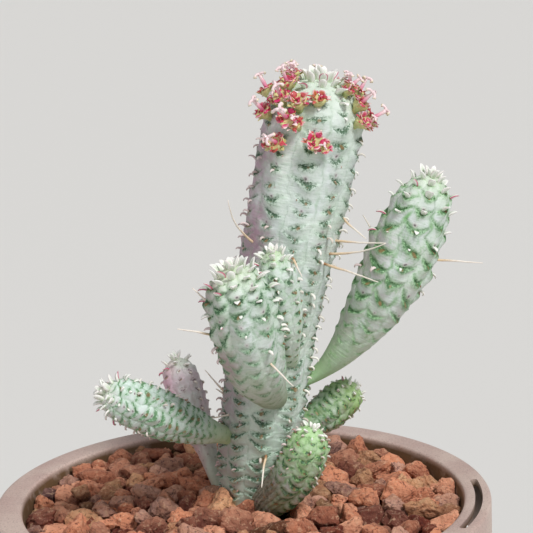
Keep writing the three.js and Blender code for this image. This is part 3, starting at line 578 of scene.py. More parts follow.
# A stem's path is [x, y, z, radius] from root to tip, dome the length of its rounded tip, and start
# how far up the path its skin begins. row_share is a row's height over a rib's width, and tight how
# much lower the rows of its slower years are. rise is how far tubercles stand out, smile how much
# their creases curl up at the ends, spread how wide those are, pillow how full the tubercles are
# between the grooves, and bald the share of the length over which they fade in. vigour is the size of
# its leaves, leaf_rows how many half rows of them it keeps, cork how much cork its foot has, and grain
# the size of its mesh.
STEMS = {
    "trunk": {
        "ribs": 10, "row_share": 0.535, "dome": 15, "vigour": 1.2, "leaf_rows": 9, "start": 22, "tight": 0.25,
        "rise": 1.0, "smile": 0.03, "pillow": 0.12, "spread": 1.05, "bald": 0.01, "grain": 0.39,
        "path": [
            [3.8, 2, 80, 9.6], [4.2, 1.8, 104, 11], [5.9, 0, 125, 12], [9.4, 0, 150, 12.3],
            [13.8, 1, 173, 13.2], [19.5, 3, 196.6, 14.3], [24.4, 5, 219, 14.4], [27.5, 6, 232.2, 13.8],
        ],
    },
    "branch_front": {
        "ribs": 10, "row_share": 0.72, "dome": 11, "vigour": 1.05, "leaf_rows": 9, "start": 2,
        "rise": 1.45, "smile": 0.12, "pillow": 0.6, "spread": 1.8, "bald": 0.64, "grain": 0.32,
        "path": [
            [11.5, -6, 138, 3.4], [8.5, -17, 144.8, 5.7], [5.7, -26, 154, 8.5],
            [3.2, -31.5, 167, 9.8], [0.9, -33, 178.5, 9.3], [-0.8, -33.5, 186.3, 8.4],
        ],
    },
    "branch_slim": {
        "ribs": 8, "row_share": 0.75, "dome": 9, "vigour": 0.75, "leaf_rows": 6, "start": 2,
        "rise": 0.8, "smile": 0.06, "pillow": 0.2, "spread": 1.3, "bald": 0.1, "grain": 0.3,
        "path": [
            [15.5, -6.5, 148.5, 2.2], [14.6, -14, 157, 3.9], [13.6, -18, 168, 5.7],
            [12.3, -20.5, 178.5, 5.8], [11, -21.5, 187.6, 5.2],
        ],
    },
    "branch_right": {
        "ribs": 8, "row_share": 0.78, "dome": 9, "vigour": 0.95, "leaf_rows": 11, "start": 2,
        "rise": 1.2, "smile": 0.1, "pillow": 0.36, "spread": 1.7, "bald": 0.4, "grain": 0.32,
        "path": [
            [17, 0, 141, 2.2], [24, -0.3, 144.3, 2.5], [31, -1.5, 151, 4.6], [38, -2.7, 160.5, 7.2],
            [45.1, -4, 172.5, 9.3], [50.6, -4, 184, 9.6], [55.5, -4, 195.5, 8.2], [58.5, -4, 204.3, 7],
        ],
    },
    "branch_left": {
        "ribs": 8, "row_share": 0.5, "dome": 7, "vigour": 0.85, "leaf_rows": 7, "start": 2,
        "rise": 1.15, "smile": 0.06, "pillow": 0.35, "spread": 2.7, "bald": 0.3, "grain": 0.28,
        "path": [
            [-1, -3, 125.3, 2.6], [-6.5, -8, 128.6, 3.1], [-14.8, -13, 132.9, 5.4],
            [-24, -17.3, 138.5, 7], [-33, -20.5, 143.7, 6.3], [-39.6, -22, 147.6, 5],
        ],
    },
    "branch_back": {
        "ribs": 8, "row_share": 0.75, "dome": 7, "vigour": 0.75, "leaf_rows": 3, "start": 6,
        "rise": 0.9, "smile": 0.05, "pillow": 0.35, "spread": 0.8, "bald": 0.4, "grain": 0.3,
        "path": [
            [1, 5, 92, 2.2], [-5.5, 9.5, 101, 2], [-8.4, 12.5, 108, 2.3], [-10.6, 15.4, 115, 3.1],
            [-13.6, 18.8, 123.5, 4.6], [-17, 21, 133.4, 5.4], [-19.6, 22, 143.4, 4.9],
        ],
    },
    "branch_foot": {
        "ribs": 8, "row_share": 0.6, "dome": 7, "vigour": 0.6, "leaf_rows": 2, "start": 1,
        "rise": 1.0, "smile": 0.1, "pillow": 0.4, "spread": 1.9, "bald": 0.2, "cork": 1, "grain": 0.3,
        "path": [
            [3, -5, 99, 4.4], [8, -10.5, 107.5, 5.3], [14.2, -16, 115.7, 6.4],
            [18.4, -19.6, 124, 6.4], [21.7, -22, 134, 5.2],
        ],
    },
    "branch_low": {
        "ribs": 8, "row_share": 0.6, "dome": 6, "vigour": 0.5, "leaf_rows": 5, "start": 2,
        "rise": 1.0, "smile": 0.1, "pillow": 0.4, "spread": 1.9, "bald": 0.2, "grain": 0.3,
        "path": [
            [11, 1, 121.5, 3.2], [19.7, 4, 125.7, 4.1], [25.2, 6.4, 128.8, 5.5],
            [30.8, 8, 132.7, 5.6], [35.7, 9, 137, 4.9],
        ],
    },
}


def unit(vectors):
    """Vectors made 1 long."""
    return vectors / np.maximum(np.linalg.norm(vectors, axis=-1, keepdims=True), 1e-9)


def smooth_path(path):
    """Closely spaced points of the smooth curve through a stem's stations, each with its radius."""
    path = np.array(path, float)
    knots = np.vstack([2 * path[0] - path[1], path, 2 * path[-1] - path[-2]])
    t = np.linspace(0, 1, SPLINE_STEPS, endpoint=False)[:, None]
    runs = []
    for p0, p1, p2, p3 in zip(knots, knots[1:], knots[2:], knots[3:]):
        leave, arrive = (p2 - p0) / 2, (p3 - p1) / 2
        bend = -3 * p1 + 3 * p2 - 2 * leave - arrive
        runs.append(p1 + leave * t + bend * t**2 + (2 * p1 - 2 * p2 + leave + arrive) * t**3)
    return np.vstack([*runs, path[-1:]])


class Stem:
    """A stem's surface: for a distance m over it from the root, its centre, axes, radius and half row."""

    def __init__(self, ribs, row_share, dome, path, tight=0, **_):
        self.ribs = ribs
        line = smooth_path(path)
        gone = np.cumsum(np.r_[0, np.linalg.norm(np.diff(line[:, :3], axis=0), axis=1)])
        length = gone[-1]
        s = length * (1 - (1 - np.linspace(0, 1, MERIDIAN_STEPS + 1)) ** 2)
        into = np.clip((s - length + dome) / dome, 0, 1)
        self.s = s
        self.r = np.interp(s, gone, line[:, 3]) * np.sqrt(1 - into**2)
        self.m = np.cumsum(np.r_[0, np.hypot(np.diff(s), np.diff(self.r))])
        self.centre = np.stack([np.interp(s, gone, line[:, i]) for i in range(3)], -1)
        ahead = np.gradient(line[:, :3], axis=0)
        self.tangent = unit(np.stack([np.interp(s, gone, ahead[:, i]) for i in range(3)], -1))
        self.total = self.m[-1]
        self.row_m, self.row_height = [], []
        widest, m = max(station[3] for station in path), 0.0
        while m < self.total:
            radius = np.interp(m, self.m, self.r)
            if self.row_m and radius < POLE_RADIUS:
                break
            least = NECK_SHARE if m < self.total / 2 else DOME_SHARE
            slow = min(1, max(0, (TIGHT_FROM - m / self.total) / (TIGHT_FROM - TIGHT_TO)))
            height = row_share * (1 - tight * slow) * 2 * math.pi * max(radius, least * widest) / ribs
            self.row_m.append(m)
            self.row_height.append(height)
            m += height / 2
        self.row_m, self.row_height = np.array(self.row_m), np.array(self.row_height)

    def at(self, m):
        """The surface's frame at distances m: centre, tangent, cross axes, radius and slopes."""
        m = np.asarray(m, float)
        centre = np.stack([np.interp(m, self.m, self.centre[:, i]) for i in range(3)], -1)
        tangent = unit(np.stack([np.interp(m, self.m, self.tangent[:, i]) for i in range(3)], -1))
        back = unit(BACKWARD - tangent * (tangent @ BACKWARD)[..., None])
        side = np.cross(tangent, back)
        radius = np.interp(m, self.m, self.r)
        step = 0.05
        low, high = np.clip(m - step, 0, self.total), np.clip(m + step, 0, self.total)
        span = np.maximum(high - low, 1e-6)
        along = (np.interp(high, self.m, self.s) - np.interp(low, self.m, self.s)) / span
        inward = (np.interp(high, self.m, self.r) - np.interp(low, self.m, self.r)) / span
        return centre, tangent, back, side, radius, along, inward

    def half_row(self, m):
        """The half row, as a running number, at distances m."""
        last = self.row_m[-1] - self.row_m[-2]
        beyond = np.clip(np.asarray(m) - self.row_m[-1], 0, None) / last
        return np.interp(m, self.row_m, np.arange(len(self.row_m))) + beyond

    def seat(self, rib, row, raised=0.0):
        """A point of a rib in a half row, the directions out of the skin and up along it, and by what
        angle the skin leans in towards the tip there."""
        m = np.interp(row, np.arange(len(self.row_m)), self.row_m)
        centre, tangent, back, side, radius, along, inward = self.at(m)
        turn = 2 * math.pi * rib / self.ribs
        across = back * math.cos(turn) + side * math.sin(turn)
        out = unit(across * along - tangent * inward)
        up = unit(tangent - out * (tangent @ out))
        return centre + across * radius + out * raised, out, up, math.atan2(-inward, along)


# A tubercle's relief is full where a rib is this wide and half a row this high, and deeper on old skin.
FULL_WIDTH, FULL_HALF = 7, 2.3
OLD_DEEPER = 0.9
GROOVE_WIDTH = 0.8
CREASE_STRAY = 0.16
CREASE_VEE = 0.4
CREASE_TILT = 0.95
NOSE_WIDTH = 0.31
NOSE_BELOW, NOSE_ABOVE = 2.3, 0.45
FURROW_DEPTH = 0.55
# Ribs and rows sway by these shares, in lumps of a size, and the skin swells and dips as a whole.
SWAY_SIZE = 9
RIB_SWAY = 0.14
ROW_SWAY = 0.3
SKIN_SWELL = 0.22
CORK_RIDGES = 19


def tubercles(stem, u, v, width, half, look, aged, seed):
    """The relief of the skin, and its distances in millimetres from grooves, creases, scars and buds.
    u and v count ribs and half rows; width and half are their sizes."""
    nearest = np.full(u.shape, 1e9)
    rib, row = np.zeros(u.shape), np.zeros(u.shape)
    for step in (-1, 0, 1):
        k = np.round(u) + step
        i = k % 2 + 2 * np.round((v - k % 2) / 2)
        gap = ((u - k) * width) ** 2 + ((v - i) * half) ** 2
        closer = gap < nearest
        nearest = np.where(closer, gap, nearest)
        rib, row = np.where(closer, k, rib), np.where(closer, i, row)
    x, y = (u - rib) * width, (v - row) * half
    diagonal = np.hypot(width, half)
    groove = np.clip(diagonal / 2 - (abs(x) * width + abs(y) * half) / diagonal, 0, None)
    luck = np.random.default_rng(seed).random((stem.ribs, int(v.max()) + 8, 7))
    scale = np.clip(np.minimum(width / FULL_WIDTH, half / FULL_HALF), 0.25, 1.2)
    deep = scale * (1 + OLD_DEEPER * aged)
    relief = look["pillow"] * deep * groove**2 / (groove**2 + (GROOVE_WIDTH * scale) ** 2)
    cell = luck[rib.astype(int) % stem.ribs, row.astype(int) + 2, 0]
    crease = np.full(u.shape, 9.0)
    scar, bud = crease.copy(), crease.copy()
    for end in (-1, 1):
        chance = luck[rib.astype(int) % stem.ribs, (row + end).astype(int) + 2]
        strength = 0.45 + 0.75 * chance[..., 1]
        reach = width * (0.15 + 0.12 * chance[..., 3]) * look["spread"] * (1 + 0.5 * aged)
        off = x - (chance[..., 2] - 0.5) * CREASE_STRAY * width
        vee = CREASE_VEE * chance[..., 5] * abs(off) + (chance[..., 4] - 0.5) * CREASE_TILT * off
        above = (y - end * half - look["smile"] * off**2 - vee) / scale
        nose = np.exp(-((off / (NOSE_WIDTH * width)) ** 2))
        slope = np.exp(-((above / np.where(above < 0, NOSE_BELOW, NOSE_ABOVE)) ** 2))
        furrow = np.exp(-((above / NOSE_ABOVE - 1.2) ** 2) - (off / (1.3 * reach)) ** 2)
        relief = relief + look["rise"] * deep * strength * (nose * slope - FURROW_DEPTH * furrow)
        taper = 0.42 * (off / reach) ** 2
        crease = np.minimum(crease, 0.78 * abs(above - 0.3) + taper + 0.3 * (1.1 - strength))
        scar = np.minimum(scar, np.hypot(off - 0.6 * chance[..., 6], above - 0.1) + 0.7 * chance[..., 5])
        bud = np.minimum(bud, np.hypot(off, above - 2) + 0.9 * (chance[..., 6] > 0.4))
    return relief, {"groove": groove, "crease": crease, "scar": scar, "bud": bud, "cell": cell}


def skin_mesh(name, look, material, seed):
    """A stem's skin as one fine mesh: rings of points over the tubercles, closed at both ends."""
    stem = GROWN[name]
    widest = stem.r.max()
    sides = int(round(2 * math.pi * widest / look["grain"] / 8)) * 8
    rows = int((stem.total - look["start"]) / look["grain"])
    m = np.linspace(look["start"], stem.total - 0.15, rows)
    centre, tangent, back, side, radius, along, inward = stem.at(m)
    share = m / stem.total
    turn = turns(sides)
    across = back[:, None] * np.cos(turn)[:, None] + side[:, None] * np.sin(turn)[:, None]
    out = unit(across * along[:, None, None] - tangent[:, None] * inward[:, None, None])
    bare = centre[:, None] + across * radius[:, None, None]
    sway = [ripple(bare, SWAY_SIZE, seed + 1), ripple(bare, SWAY_SIZE, seed + 2)]
    wander = np.clip(radius / 6, 0, 1)[:, None]
    u = stem.ribs * turn / (2 * math.pi) + RIB_SWAY * sway[0] * wander
    v = stem.half_row(m)[:, None] + ROW_SWAY * sway[1]
    width = 2 * math.pi * radius[:, None] / stem.ribs + 0 * u
    half = np.interp(m, stem.row_m, stem.row_height)[:, None] / 2 + 0 * u
    aged = np.clip((POT_TOP + OLD_HEIGHT - centre[:, 2:]) / OLD_FADE, 0, 1) + 0 * u
    relief, fields = tubercles(stem, u, v, width, half, look, aged * (name == "trunk"), seed)
    calm = np.clip((radius / widest - 0.32) / 0.28, 0, 1)[:, None] ** 1.5
    calm = np.maximum(calm, (np.clip(4 * share - 3, 0, 1) * np.clip(radius / 4, 0, 1))[:, None])
    calm = calm * np.clip(share / look["bald"] - 0.23, 0.12, 1)[:, None]
    relief = (relief + SKIN_SWELL * ripple(bare, 6, seed + 3)) * calm - 0.25 * look["pillow"]
    for key in ("crease", "scar", "bud", "groove"):
        fields[key] = fields[key] + 0.9 * (1 - calm)
    # Old skin that has faced the ground turns to cork, with ridges along the stem.
    cork = np.clip(-1.6 * out[..., 0] - 0.5 * out[..., 2] - 0.2 + 0.3 * sway[0], 0, 1)
    cork *= np.clip(3.2 - 5 * share, 0, 1)[:, None] * look.get("cork", 0)
    ridges = (0.5 + 0.5 * np.sin(CORK_RIDGES * u + 2 * sway[1])) ** 2
    relief = relief * (1 - 0.8 * cork) - 0.55 * cork * ridges
    points, faces = closed(bare + out * relief[..., None], [centre[0], stem.at(stem.total)[0]])
    fields["length"] = m[:, None] + 0 * u
    fields["share"] = share[:, None] + 0 * u
    # Painted shade in part: the mauve flush falls on the left, the side turned from the key light, over the
    # skin's own mauve.
    fields["flush_and_shade"] = -out[..., 0] * 0.8 + 0.25 * ripple(bare, 12, seed + 4)
    fields["cork"] = cork
    fields = {key: np.r_[value.ravel(), value.flat[0], value.flat[-1]] for key, value in fields.items()}
    made = mesh_piece("skin_" + name, points, faces, material, **fields)
    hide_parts(name)


# Waxy skin: pale tissue that greens towards the grooves, dark creases with a brown scar, a small
# dark bud with a pink halo, and a mauve flush on the left, the side turned from the key light. The flush is
# partly the skin's own mauve and partly painted shade. The creases' dark green is partly the skin's own and
# partly painted shade where the tubercles overhang.
skin, takes, gives = node_group(
    "waxy_skin",
    {
        "Body": tint(222, 234, 224), "Green": tint(150, 185, 150), "Crease": tint(48, 88, 54),
        "Groove": tint(128, 158, 132), "Scar": tint(142, 106, 66), "Bud": tint(74, 52, 62),
        "FlushAndShade": tint(184, 152, 170), "Neck": tint(170, 196, 140), "Tip": tint(178, 208, 138),
        "Neck End": 0.3, "Tip Start": 0.9, "Green Share": 0.5, "FlushAndShade Share": 0.8, "Line Share": 0.14,
    },
    {"Colour": "NodeSocketColor", "Height": "NodeSocketFloat", "Roughness": "NodeSocketFloat"},
)
fine = cloudy(skin, 1.1, 4, 0.65)
broad = cloudy(skin, 8, 3)
middling = cloudy(skin, 3.2, 3)
length_place = node(skin, "ShaderNodeCombineXYZ", {2: field(skin, "length")}).outputs[0]
across_place = place(skin, (0.16, 0.16, 0.16))
streak_place = node(skin, "ShaderNodeVectorMath", {0: across_place, 1: length_place}).outputs[0]
streak_inputs = {"Vector": streak_place, "Scale": 1.4, "Detail": 3.0}
streaks = node(skin, "ShaderNodeTexNoise", streak_inputs).outputs[0]
cover = blend(skin, fade(skin, broad, 0.3, 0.7), takes["Body"], tint(222, 229, 228))
cover = coat(skin, cover, takes["Green"], field(skin, "cell"), 0.12)
# The flush: partly the skin's own mauve, partly painted shade on the side away from the key light.
flush_and_shade = fade(skin, maths(skin, "MULTIPLY_ADD", middling, 0.6, field(skin, "flush_and_shade")), 0.48, 1.1)
cover = coat(skin, cover, takes["FlushAndShade"], flush_and_shade, takes["FlushAndShade Share"])
groove_gap = maths(skin, "MULTIPLY_ADD", middling, 1.6, field(skin, "groove"))
green_zone = maths(skin, "MULTIPLY", fade(skin, groove_gap, 1.9, 0.6), fade(skin, broad, 0.44, 0.68))
near_crease = fade(skin, field(skin, "crease"), 1.9, 0.2)
green_zone = maths(skin, "MAXIMUM", green_zone, maths(skin, "MULTIPLY", near_crease, 0.9))
cover = coat(skin, cover, takes["Green"], green_zone, takes["Green Share"])
streaky = maths(skin, "MULTIPLY", fade(skin, streaks, 0.5, 0.72), 0.24)
blotch = maths(skin, "MULTIPLY", fade(skin, cloudy(skin, 2.2, 4, 0.65), 0.5, 0.66), 0.5)
blotch = maths(skin, "MULTIPLY", blotch, takes["Green Share"])
cover = blend(skin, maths(skin, "MAXIMUM", streaky, blotch), cover, takes["Green"])
height = maths(skin, "MULTIPLY_ADD", broad, 0.12, field(skin, "share"))
cover = coat(skin, cover, takes["Neck"], fade(skin, height, takes["Neck End"], 0.0), 0.85)
cover = coat(skin, cover, takes["Tip"], fade(skin, height, takes["Tip Start"], 1.06), 0.6)
# Darker lines along the grooves, which are also low in the bump: partly the skin's own green, partly painted
# shade.
line_gap = maths(skin, "MULTIPLY_ADD", maths(skin, "SUBTRACT", fine, 0.5), 0.5, field(skin, "groove"))
line = maths(skin, "MULTIPLY", fade(skin, line_gap, 0.32, 0.06), fade(skin, middling, 0.36, 0.6))
cover = coat(skin, cover, takes["Groove"], line, takes["Line Share"])
# Painted shade in the creases: crease-green flecks and a dark crease band, partly the skin's own dark green
# and partly shade under the overhanging tubercles.
flecks = maths(skin, "MULTIPLY", fade(skin, fine, 0.5, 0.6), fade(skin, field(skin, "crease"), 1.9, 0.7))
cover = coat(skin, cover, takes["Crease"], flecks, 0.5)
ragged = maths(skin, "MULTIPLY_ADD", cloudy(skin, 0.8, 4, 0.7), 3.4, -1.7)
crease_gap = maths(skin, "ADD", ragged, field(skin, "crease"))
cover = coat(skin, cover, takes["Crease"], fade(skin, crease_gap, 0.66, 0.3), 0.92)
bark = blend(skin, fade(skin, fine, 0.35, 0.65), tint(84, 78, 64), tint(160, 150, 134))
cover = coat(skin, cover, bark, field(skin, "cork"), 0.85)
scar_gap = maths(skin, "MULTIPLY_ADD", maths(skin, "SUBTRACT", fine, 0.5), 0.8, field(skin, "scar"))
cover = coat(skin, cover, takes["Scar"], fade(skin, scar_gap, 0.95, 0.45), 0.75)
cover = coat(skin, cover, tint(214, 178, 190), fade(skin, field(skin, "bud"), 1.1, 0.35), 0.3)
cover = coat(skin, cover, takes["Bud"], fade(skin, field(skin, "bud"), 0.5, 0.2), 0.8)
skin.links.new(cover, gives["Colour"])
relief = maths(skin, "MULTIPLY_ADD", streaks, 0.6, maths(skin, "MULTIPLY", fine, 0.5))
skin.links.new(maths(skin, "SUBTRACT", relief, maths(skin, "MULTIPLY", line, 0.2)), gives["Height"])
skin.links.new(maths(skin, "MULTIPLY_ADD", green_zone, -0.08, 0.56), gives["Roughness"])


def skin_finish(name, **values):
    """A stem's skin material, with its own colours in the waxy skin group."""
    material, tree, shader = finish_of(name, 0.55, Coat_Weight=0.1, Coat_Roughness=0.4)
    made = placed(tree, skin, **values)
    tree.links.new(made["Roughness"], shader.inputs["Roughness"])
    dress(tree, shader, made["Colour"], made["Height"], 0.27)
    return material


SKINS = {
    "trunk": dict(
        Neck=tint(166, 190, 168), Neck_End=0.6, Tip=tint(214, 228, 206), Tip_Start=0.9,
        FlushAndShade=tint(174, 140, 158), FlushAndShade_Share=0.95, Line_Share=0.26,
    ),
    "branch_front": dict(
        Body=tint(204, 220, 204), Green=tint(116, 162, 112), Green_Share=0.85, Neck=tint(134, 144, 106),
        Neck_End=0.66, Tip=tint(214, 226, 190), Tip_Start=0.85, Line_Share=0.35,
        FlushAndShade=tint(170, 142, 150), FlushAndShade_Share=0.8,
    ),
    "branch_slim": dict(Green=tint(152, 198, 146), Green_Share=0.7, Neck_End=0.3, FlushAndShade_Share=0.2),
    "branch_right": dict(
        Body=tint(222, 232, 222), Green=tint(132, 182, 122), Green_Share=1.0, Neck=tint(154, 200, 128),
        Neck_End=0.55, Tip=tint(206, 222, 190), Line_Share=0.4, Crease=tint(64, 108, 62),
        FlushAndShade=tint(168, 134, 146), FlushAndShade_Share=0.48,
    ),
    "branch_left": dict(
        Body=tint(216, 232, 224), Green=tint(150, 194, 150), Green_Share=0.6, Crease=tint(96, 142, 96),
        Neck=tint(172, 202, 98), Neck_End=0.44, Line_Share=0.3, Tip=tint(206, 224, 192),
        FlushAndShade=tint(222, 204, 212), FlushAndShade_Share=0.8,
    ),
    "branch_back": dict(
        Body=tint(220, 196, 208), Green=tint(192, 180, 176), Neck=tint(146, 176, 120), Neck_End=0.85,
        FlushAndShade_Share=1.0, FlushAndShade=tint(220, 178, 196), Tip=tint(206, 222, 192), Crease=tint(120, 96, 100),
    ),
    "branch_foot": dict(
        Body=tint(186, 212, 178), Green=tint(104, 158, 84), Green_Share=0.9, Neck=tint(128, 134, 100),
        Neck_End=0.7, Tip=tint(168, 214, 124), Tip_Start=0.55, FlushAndShade_Share=0.2, Line_Share=0.3,
    ),
    "branch_low": dict(
        Body=tint(144, 178, 118), Green=tint(86, 142, 70), Green_Share=0.9, Neck=tint(132, 162, 124),
        Neck_End=0.5, Tip=tint(156, 192, 84), Tip_Start=0.42, FlushAndShade_Share=0.1, Line_Share=0.3,
    ),
}
GROWN = {name: Stem(**look) for name, look in STEMS.items()}
for seed, (name, look) in enumerate(STEMS.items()):
    skin_mesh(name, look, skin_finish("skin_" + name, **SKINS[name]), 100 + 10 * seed)

# ----------------------------------------------------------
# Leaves: small fleshy white scales, cupped and a little pink at the edge, that crown each stem's tip
# and wither as they are left behind. Each grows out of the scar at the top of a tubercle.
LEAF_LENGTH = 3.5
LEAF_WIDTH = 2.6
LEAF_THICK = 0.85
LEAF_STEPS = 9
LEAF_SIDES = 10
LEAF_SUNK = 0.5
LEAF_BLUNT = 3.6
LEAF_SHARE = 0.86
# In degrees: how far the youngest leaves stand up and curl in, and how much more older ones spread.
LEAF_LIFT, LEAF_SPREAD = 80, 48
LEAF_BEND, LEAF_DROOP = -30, -75
LEAF_CUP = 0.3
TIP_LEAVES = 6
TIP_TURN = 2.4


class Heap:
    """Gathers many small bodies, each a run of rings of points, into one piece."""

    def __init__(self):
        self.points, self.faces, self.fields, self.looks, self.count = [], [], {}, [], 0

    def add(self, rings, look=0, **fields):
        """Adds one body, with the number of its material and its numbers for the shader."""
        rows, sides, _ = rings.shape
        first, last = self.count, self.count + (rows - 1) * sides
        faces = (bands(rows, sides) + first).tolist()
        faces.append([first + k for k in reversed(range(sides))])
        faces.append([last + k for k in range(sides)])
        self.points.append(rings.reshape(-1, 3))
        self.faces += faces
        self.looks += [look] * len(faces)
        for name, values in fields.items():
            self.fields.setdefault(name, []).append(np.broadcast_to(values, rings.shape[:2]).ravel())
        self.count += rows * sides

    def piece(self, name, *materials):
        """The piece of all the bodies."""
        fields = {key: np.concatenate(values) for key, values in self.fields.items()}
        return mesh_piece(name, np.vstack(self.points), self.faces, *materials, looks=self.looks, **fields)


def blade(root, out, up, size, lift, bend, late=1.0, cup=0.3, blunt=3.2, mesh=(LEAF_STEPS, LEAF_SIDES)):
    """Rings of a leaf-like body of size [length, width, thickness] that leaves its root along out,
    lifted towards up by an angle and bent by another, the more so towards the tip the later it is.
    Also gives each point's share of the length and its nearness to the edge."""
    length, width, thick = size
    steps, sides = mesh
    t = np.linspace(0, 1, steps)
    angle = lift + bend * t**late
    way = np.cos(angle)[:, None] * out + np.sin(angle)[:, None] * up
    face = -np.sin(angle)[:, None] * out + np.cos(angle)[:, None] * up
    side = np.cross(up, out)
    stride = np.vstack([[0, 0, 0], (way[1:] + way[:-1]) / 2]) * length / (steps - 1)
    middle = root + np.cumsum(stride, axis=0)
    broad = width / 2 * np.clip(0.42 + 1.6 * t - 1.05 * t**2, 0, 1)
    broad *= np.clip(1.03 - t**blunt, 0.02, 1) ** 0.7
    deep = thick / 2 * np.sqrt(np.clip(1.04 - t**2, 0.02, 1))
    across, over = np.cos(turns(sides)), np.sin(turns(sides))
    rings = middle[:, None] + side * (broad[:, None] * across)[..., None]
    lift_up = deep[:, None] * over + cup * broad[:, None] * across**2
    rings = rings + face[:, None] * lift_up[..., None]
    return rings, t[:, None], abs(across)[None]


leaf_wax, tree, shader = finish_of("leaf_wax", 0.45, Coat_Weight=0.15, Coat_Roughness=0.3)
pale = blend(tree, fade(tree, field(tree, "share"), 0.0, 0.4), tint(206, 224, 188), tint(252, 252, 246))
middle = fade(tree, field(tree, "edge"), 0.75, 0.1)
middle = maths(tree, "MULTIPLY", middle, fade(tree, field(tree, "share"), 0.9, 0.3))
pale = coat(tree, pale, tint(176, 204, 158), middle, 0.75)
pink = maths(tree, "MULTIPLY", fade(tree, field(tree, "edge"), 0.6, 1.0), field(tree, "blush"))
pale = blend(tree, pink, pale, tint(200, 76, 118))
dress(tree, shader, pale, cloudy(tree, 0.6), 0.05)


def peaks(stem):
    """The rib, half row and age of every leaf scar on a stem. The age counts half rows from the tip."""
    last = len(stem.row_m) - 1
    return [(k, i, last - i) for i in range(1, last + 1) for k in range(stem.ribs) if (k + i) % 2]


def is_hidden(name, point, margin=0.4):
    """Whether a point of one stem lies inside another stem."""
    for other, stem in GROWN.items():
        if other == name:
            continue
        gap = np.linalg.norm(stem.centre - point, axis=1)
        if (gap < stem.r + margin).any():
            return True
    return False


leaf_draw = np.random.default_rng(41)
for name, stem in GROWN.items():
    heap = Heap()
    vigour = STEMS[name]["vigour"]
    for rib, row, age in peaks(stem):
        ripe = age / STEMS[name]["leaf_rows"]
        if ripe > 1.2 or age < 1 or leaf_draw.random() > LEAF_SHARE:
            continue
        root, out, up, lean = stem.seat(rib, row, -LEAF_SUNK)
        if is_hidden(name, root + out):
            continue
        # The older leaves on the front have been rubbed off to stubs.
        scale = vigour * leaf_draw.uniform(0.85, 1.15) * (1 - 0.2 * max(0, ripe - 0.6) / 0.6)
        scale *= 1 - 0.6 * np.clip(-1.2 * out[1], 0, 1) * np.clip(3 * ripe - 1.8, 0, 1)
        size = [LEAF_LENGTH * scale + LEAF_SUNK, LEAF_WIDTH * scale, LEAF_THICK]
        lift = math.radians(LEAF_LIFT - LEAF_SPREAD * ripe + leaf_draw.normal(0, 10)) - lean
        bend = math.radians(LEAF_BEND + LEAF_DROOP * ripe**2 + leaf_draw.normal(0, 14))
        rings, share, edge = blade(root, out, up, size, lift, bend, 1.5, LEAF_CUP, LEAF_BLUNT)
        red = leaf_draw.random() < 0.1 - 0.75 * out[0] * (ripe > 0.4)
        blush = 1 if red else 0.12 * leaf_draw.random()
        heap.add(rings, share=share, edge=edge, blush=blush)
    # The growing point: a few upright young leaves close over it.
    centre, tangent, back, side = (v[0] for v in stem.at([stem.total])[:4])
    for k in range(TIP_LEAVES):
        turn = k * TIP_TURN
        out = back * math.cos(turn) + side * math.sin(turn)
        root = centre + out * vigour * (0.5 + 0.2 * k) - tangent * 0.9
        lift = math.radians(86 - 7 * k + leaf_draw.normal(0, 6))
        size = [LEAF_LENGTH * vigour * leaf_draw.uniform(1, 1.3), LEAF_WIDTH * vigour * 0.9, LEAF_THICK]
        bend = math.radians(-25)
        rings, share, edge = blade(root, out, tangent, size, lift, bend, 1.8, LEAF_CUP, LEAF_BLUNT)
        heap.add(rings, share=share, edge=edge, blush=0.25 * leaf_draw.random())
    leaves = heap.piece("leaves_" + name, leaf_wax)
    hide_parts(name)

# ----------------------------------------------------------
# Dry hooks: what is left of older leaves, a thin papery curl at each scar, bleached white or tan and
# pinkish on the left like the skin's flush, that pink partly their own and partly painted shade on the side
# turned from the key light. They are part of the stem and break off with age.
HOOK_LENGTH = 3.6
HOOK_WIDTH = 1.3
HOOK_THICK = 0.75
HOOK_SHARE = 0.9
HOOK_LIFT = 32
HOOK_CURL = -150
HOOK_MESH = (11, 6)
HOOK_SUNK = 0.3
BARE_NECK = 0.5

dry_leaf, tree, shader = finish_of("dry_leaf", 0.7)
bleached = blend(tree, field(tree, "dryness"), tint(250, 246, 238), tint(150, 116, 84))
bleached = blend(tree, fade(tree, field(tree, "share"), 0.28, 0.1), bleached, tint(158, 124, 84))
# The blush: partly the hooks' own pink, partly painted shade on the left.
bleached = coat(tree, bleached, tint(206, 160, 170), field(tree, "blush"), 0.5)
dress(tree, shader, bleached, cloudy(tree, 0.5), 0.06)

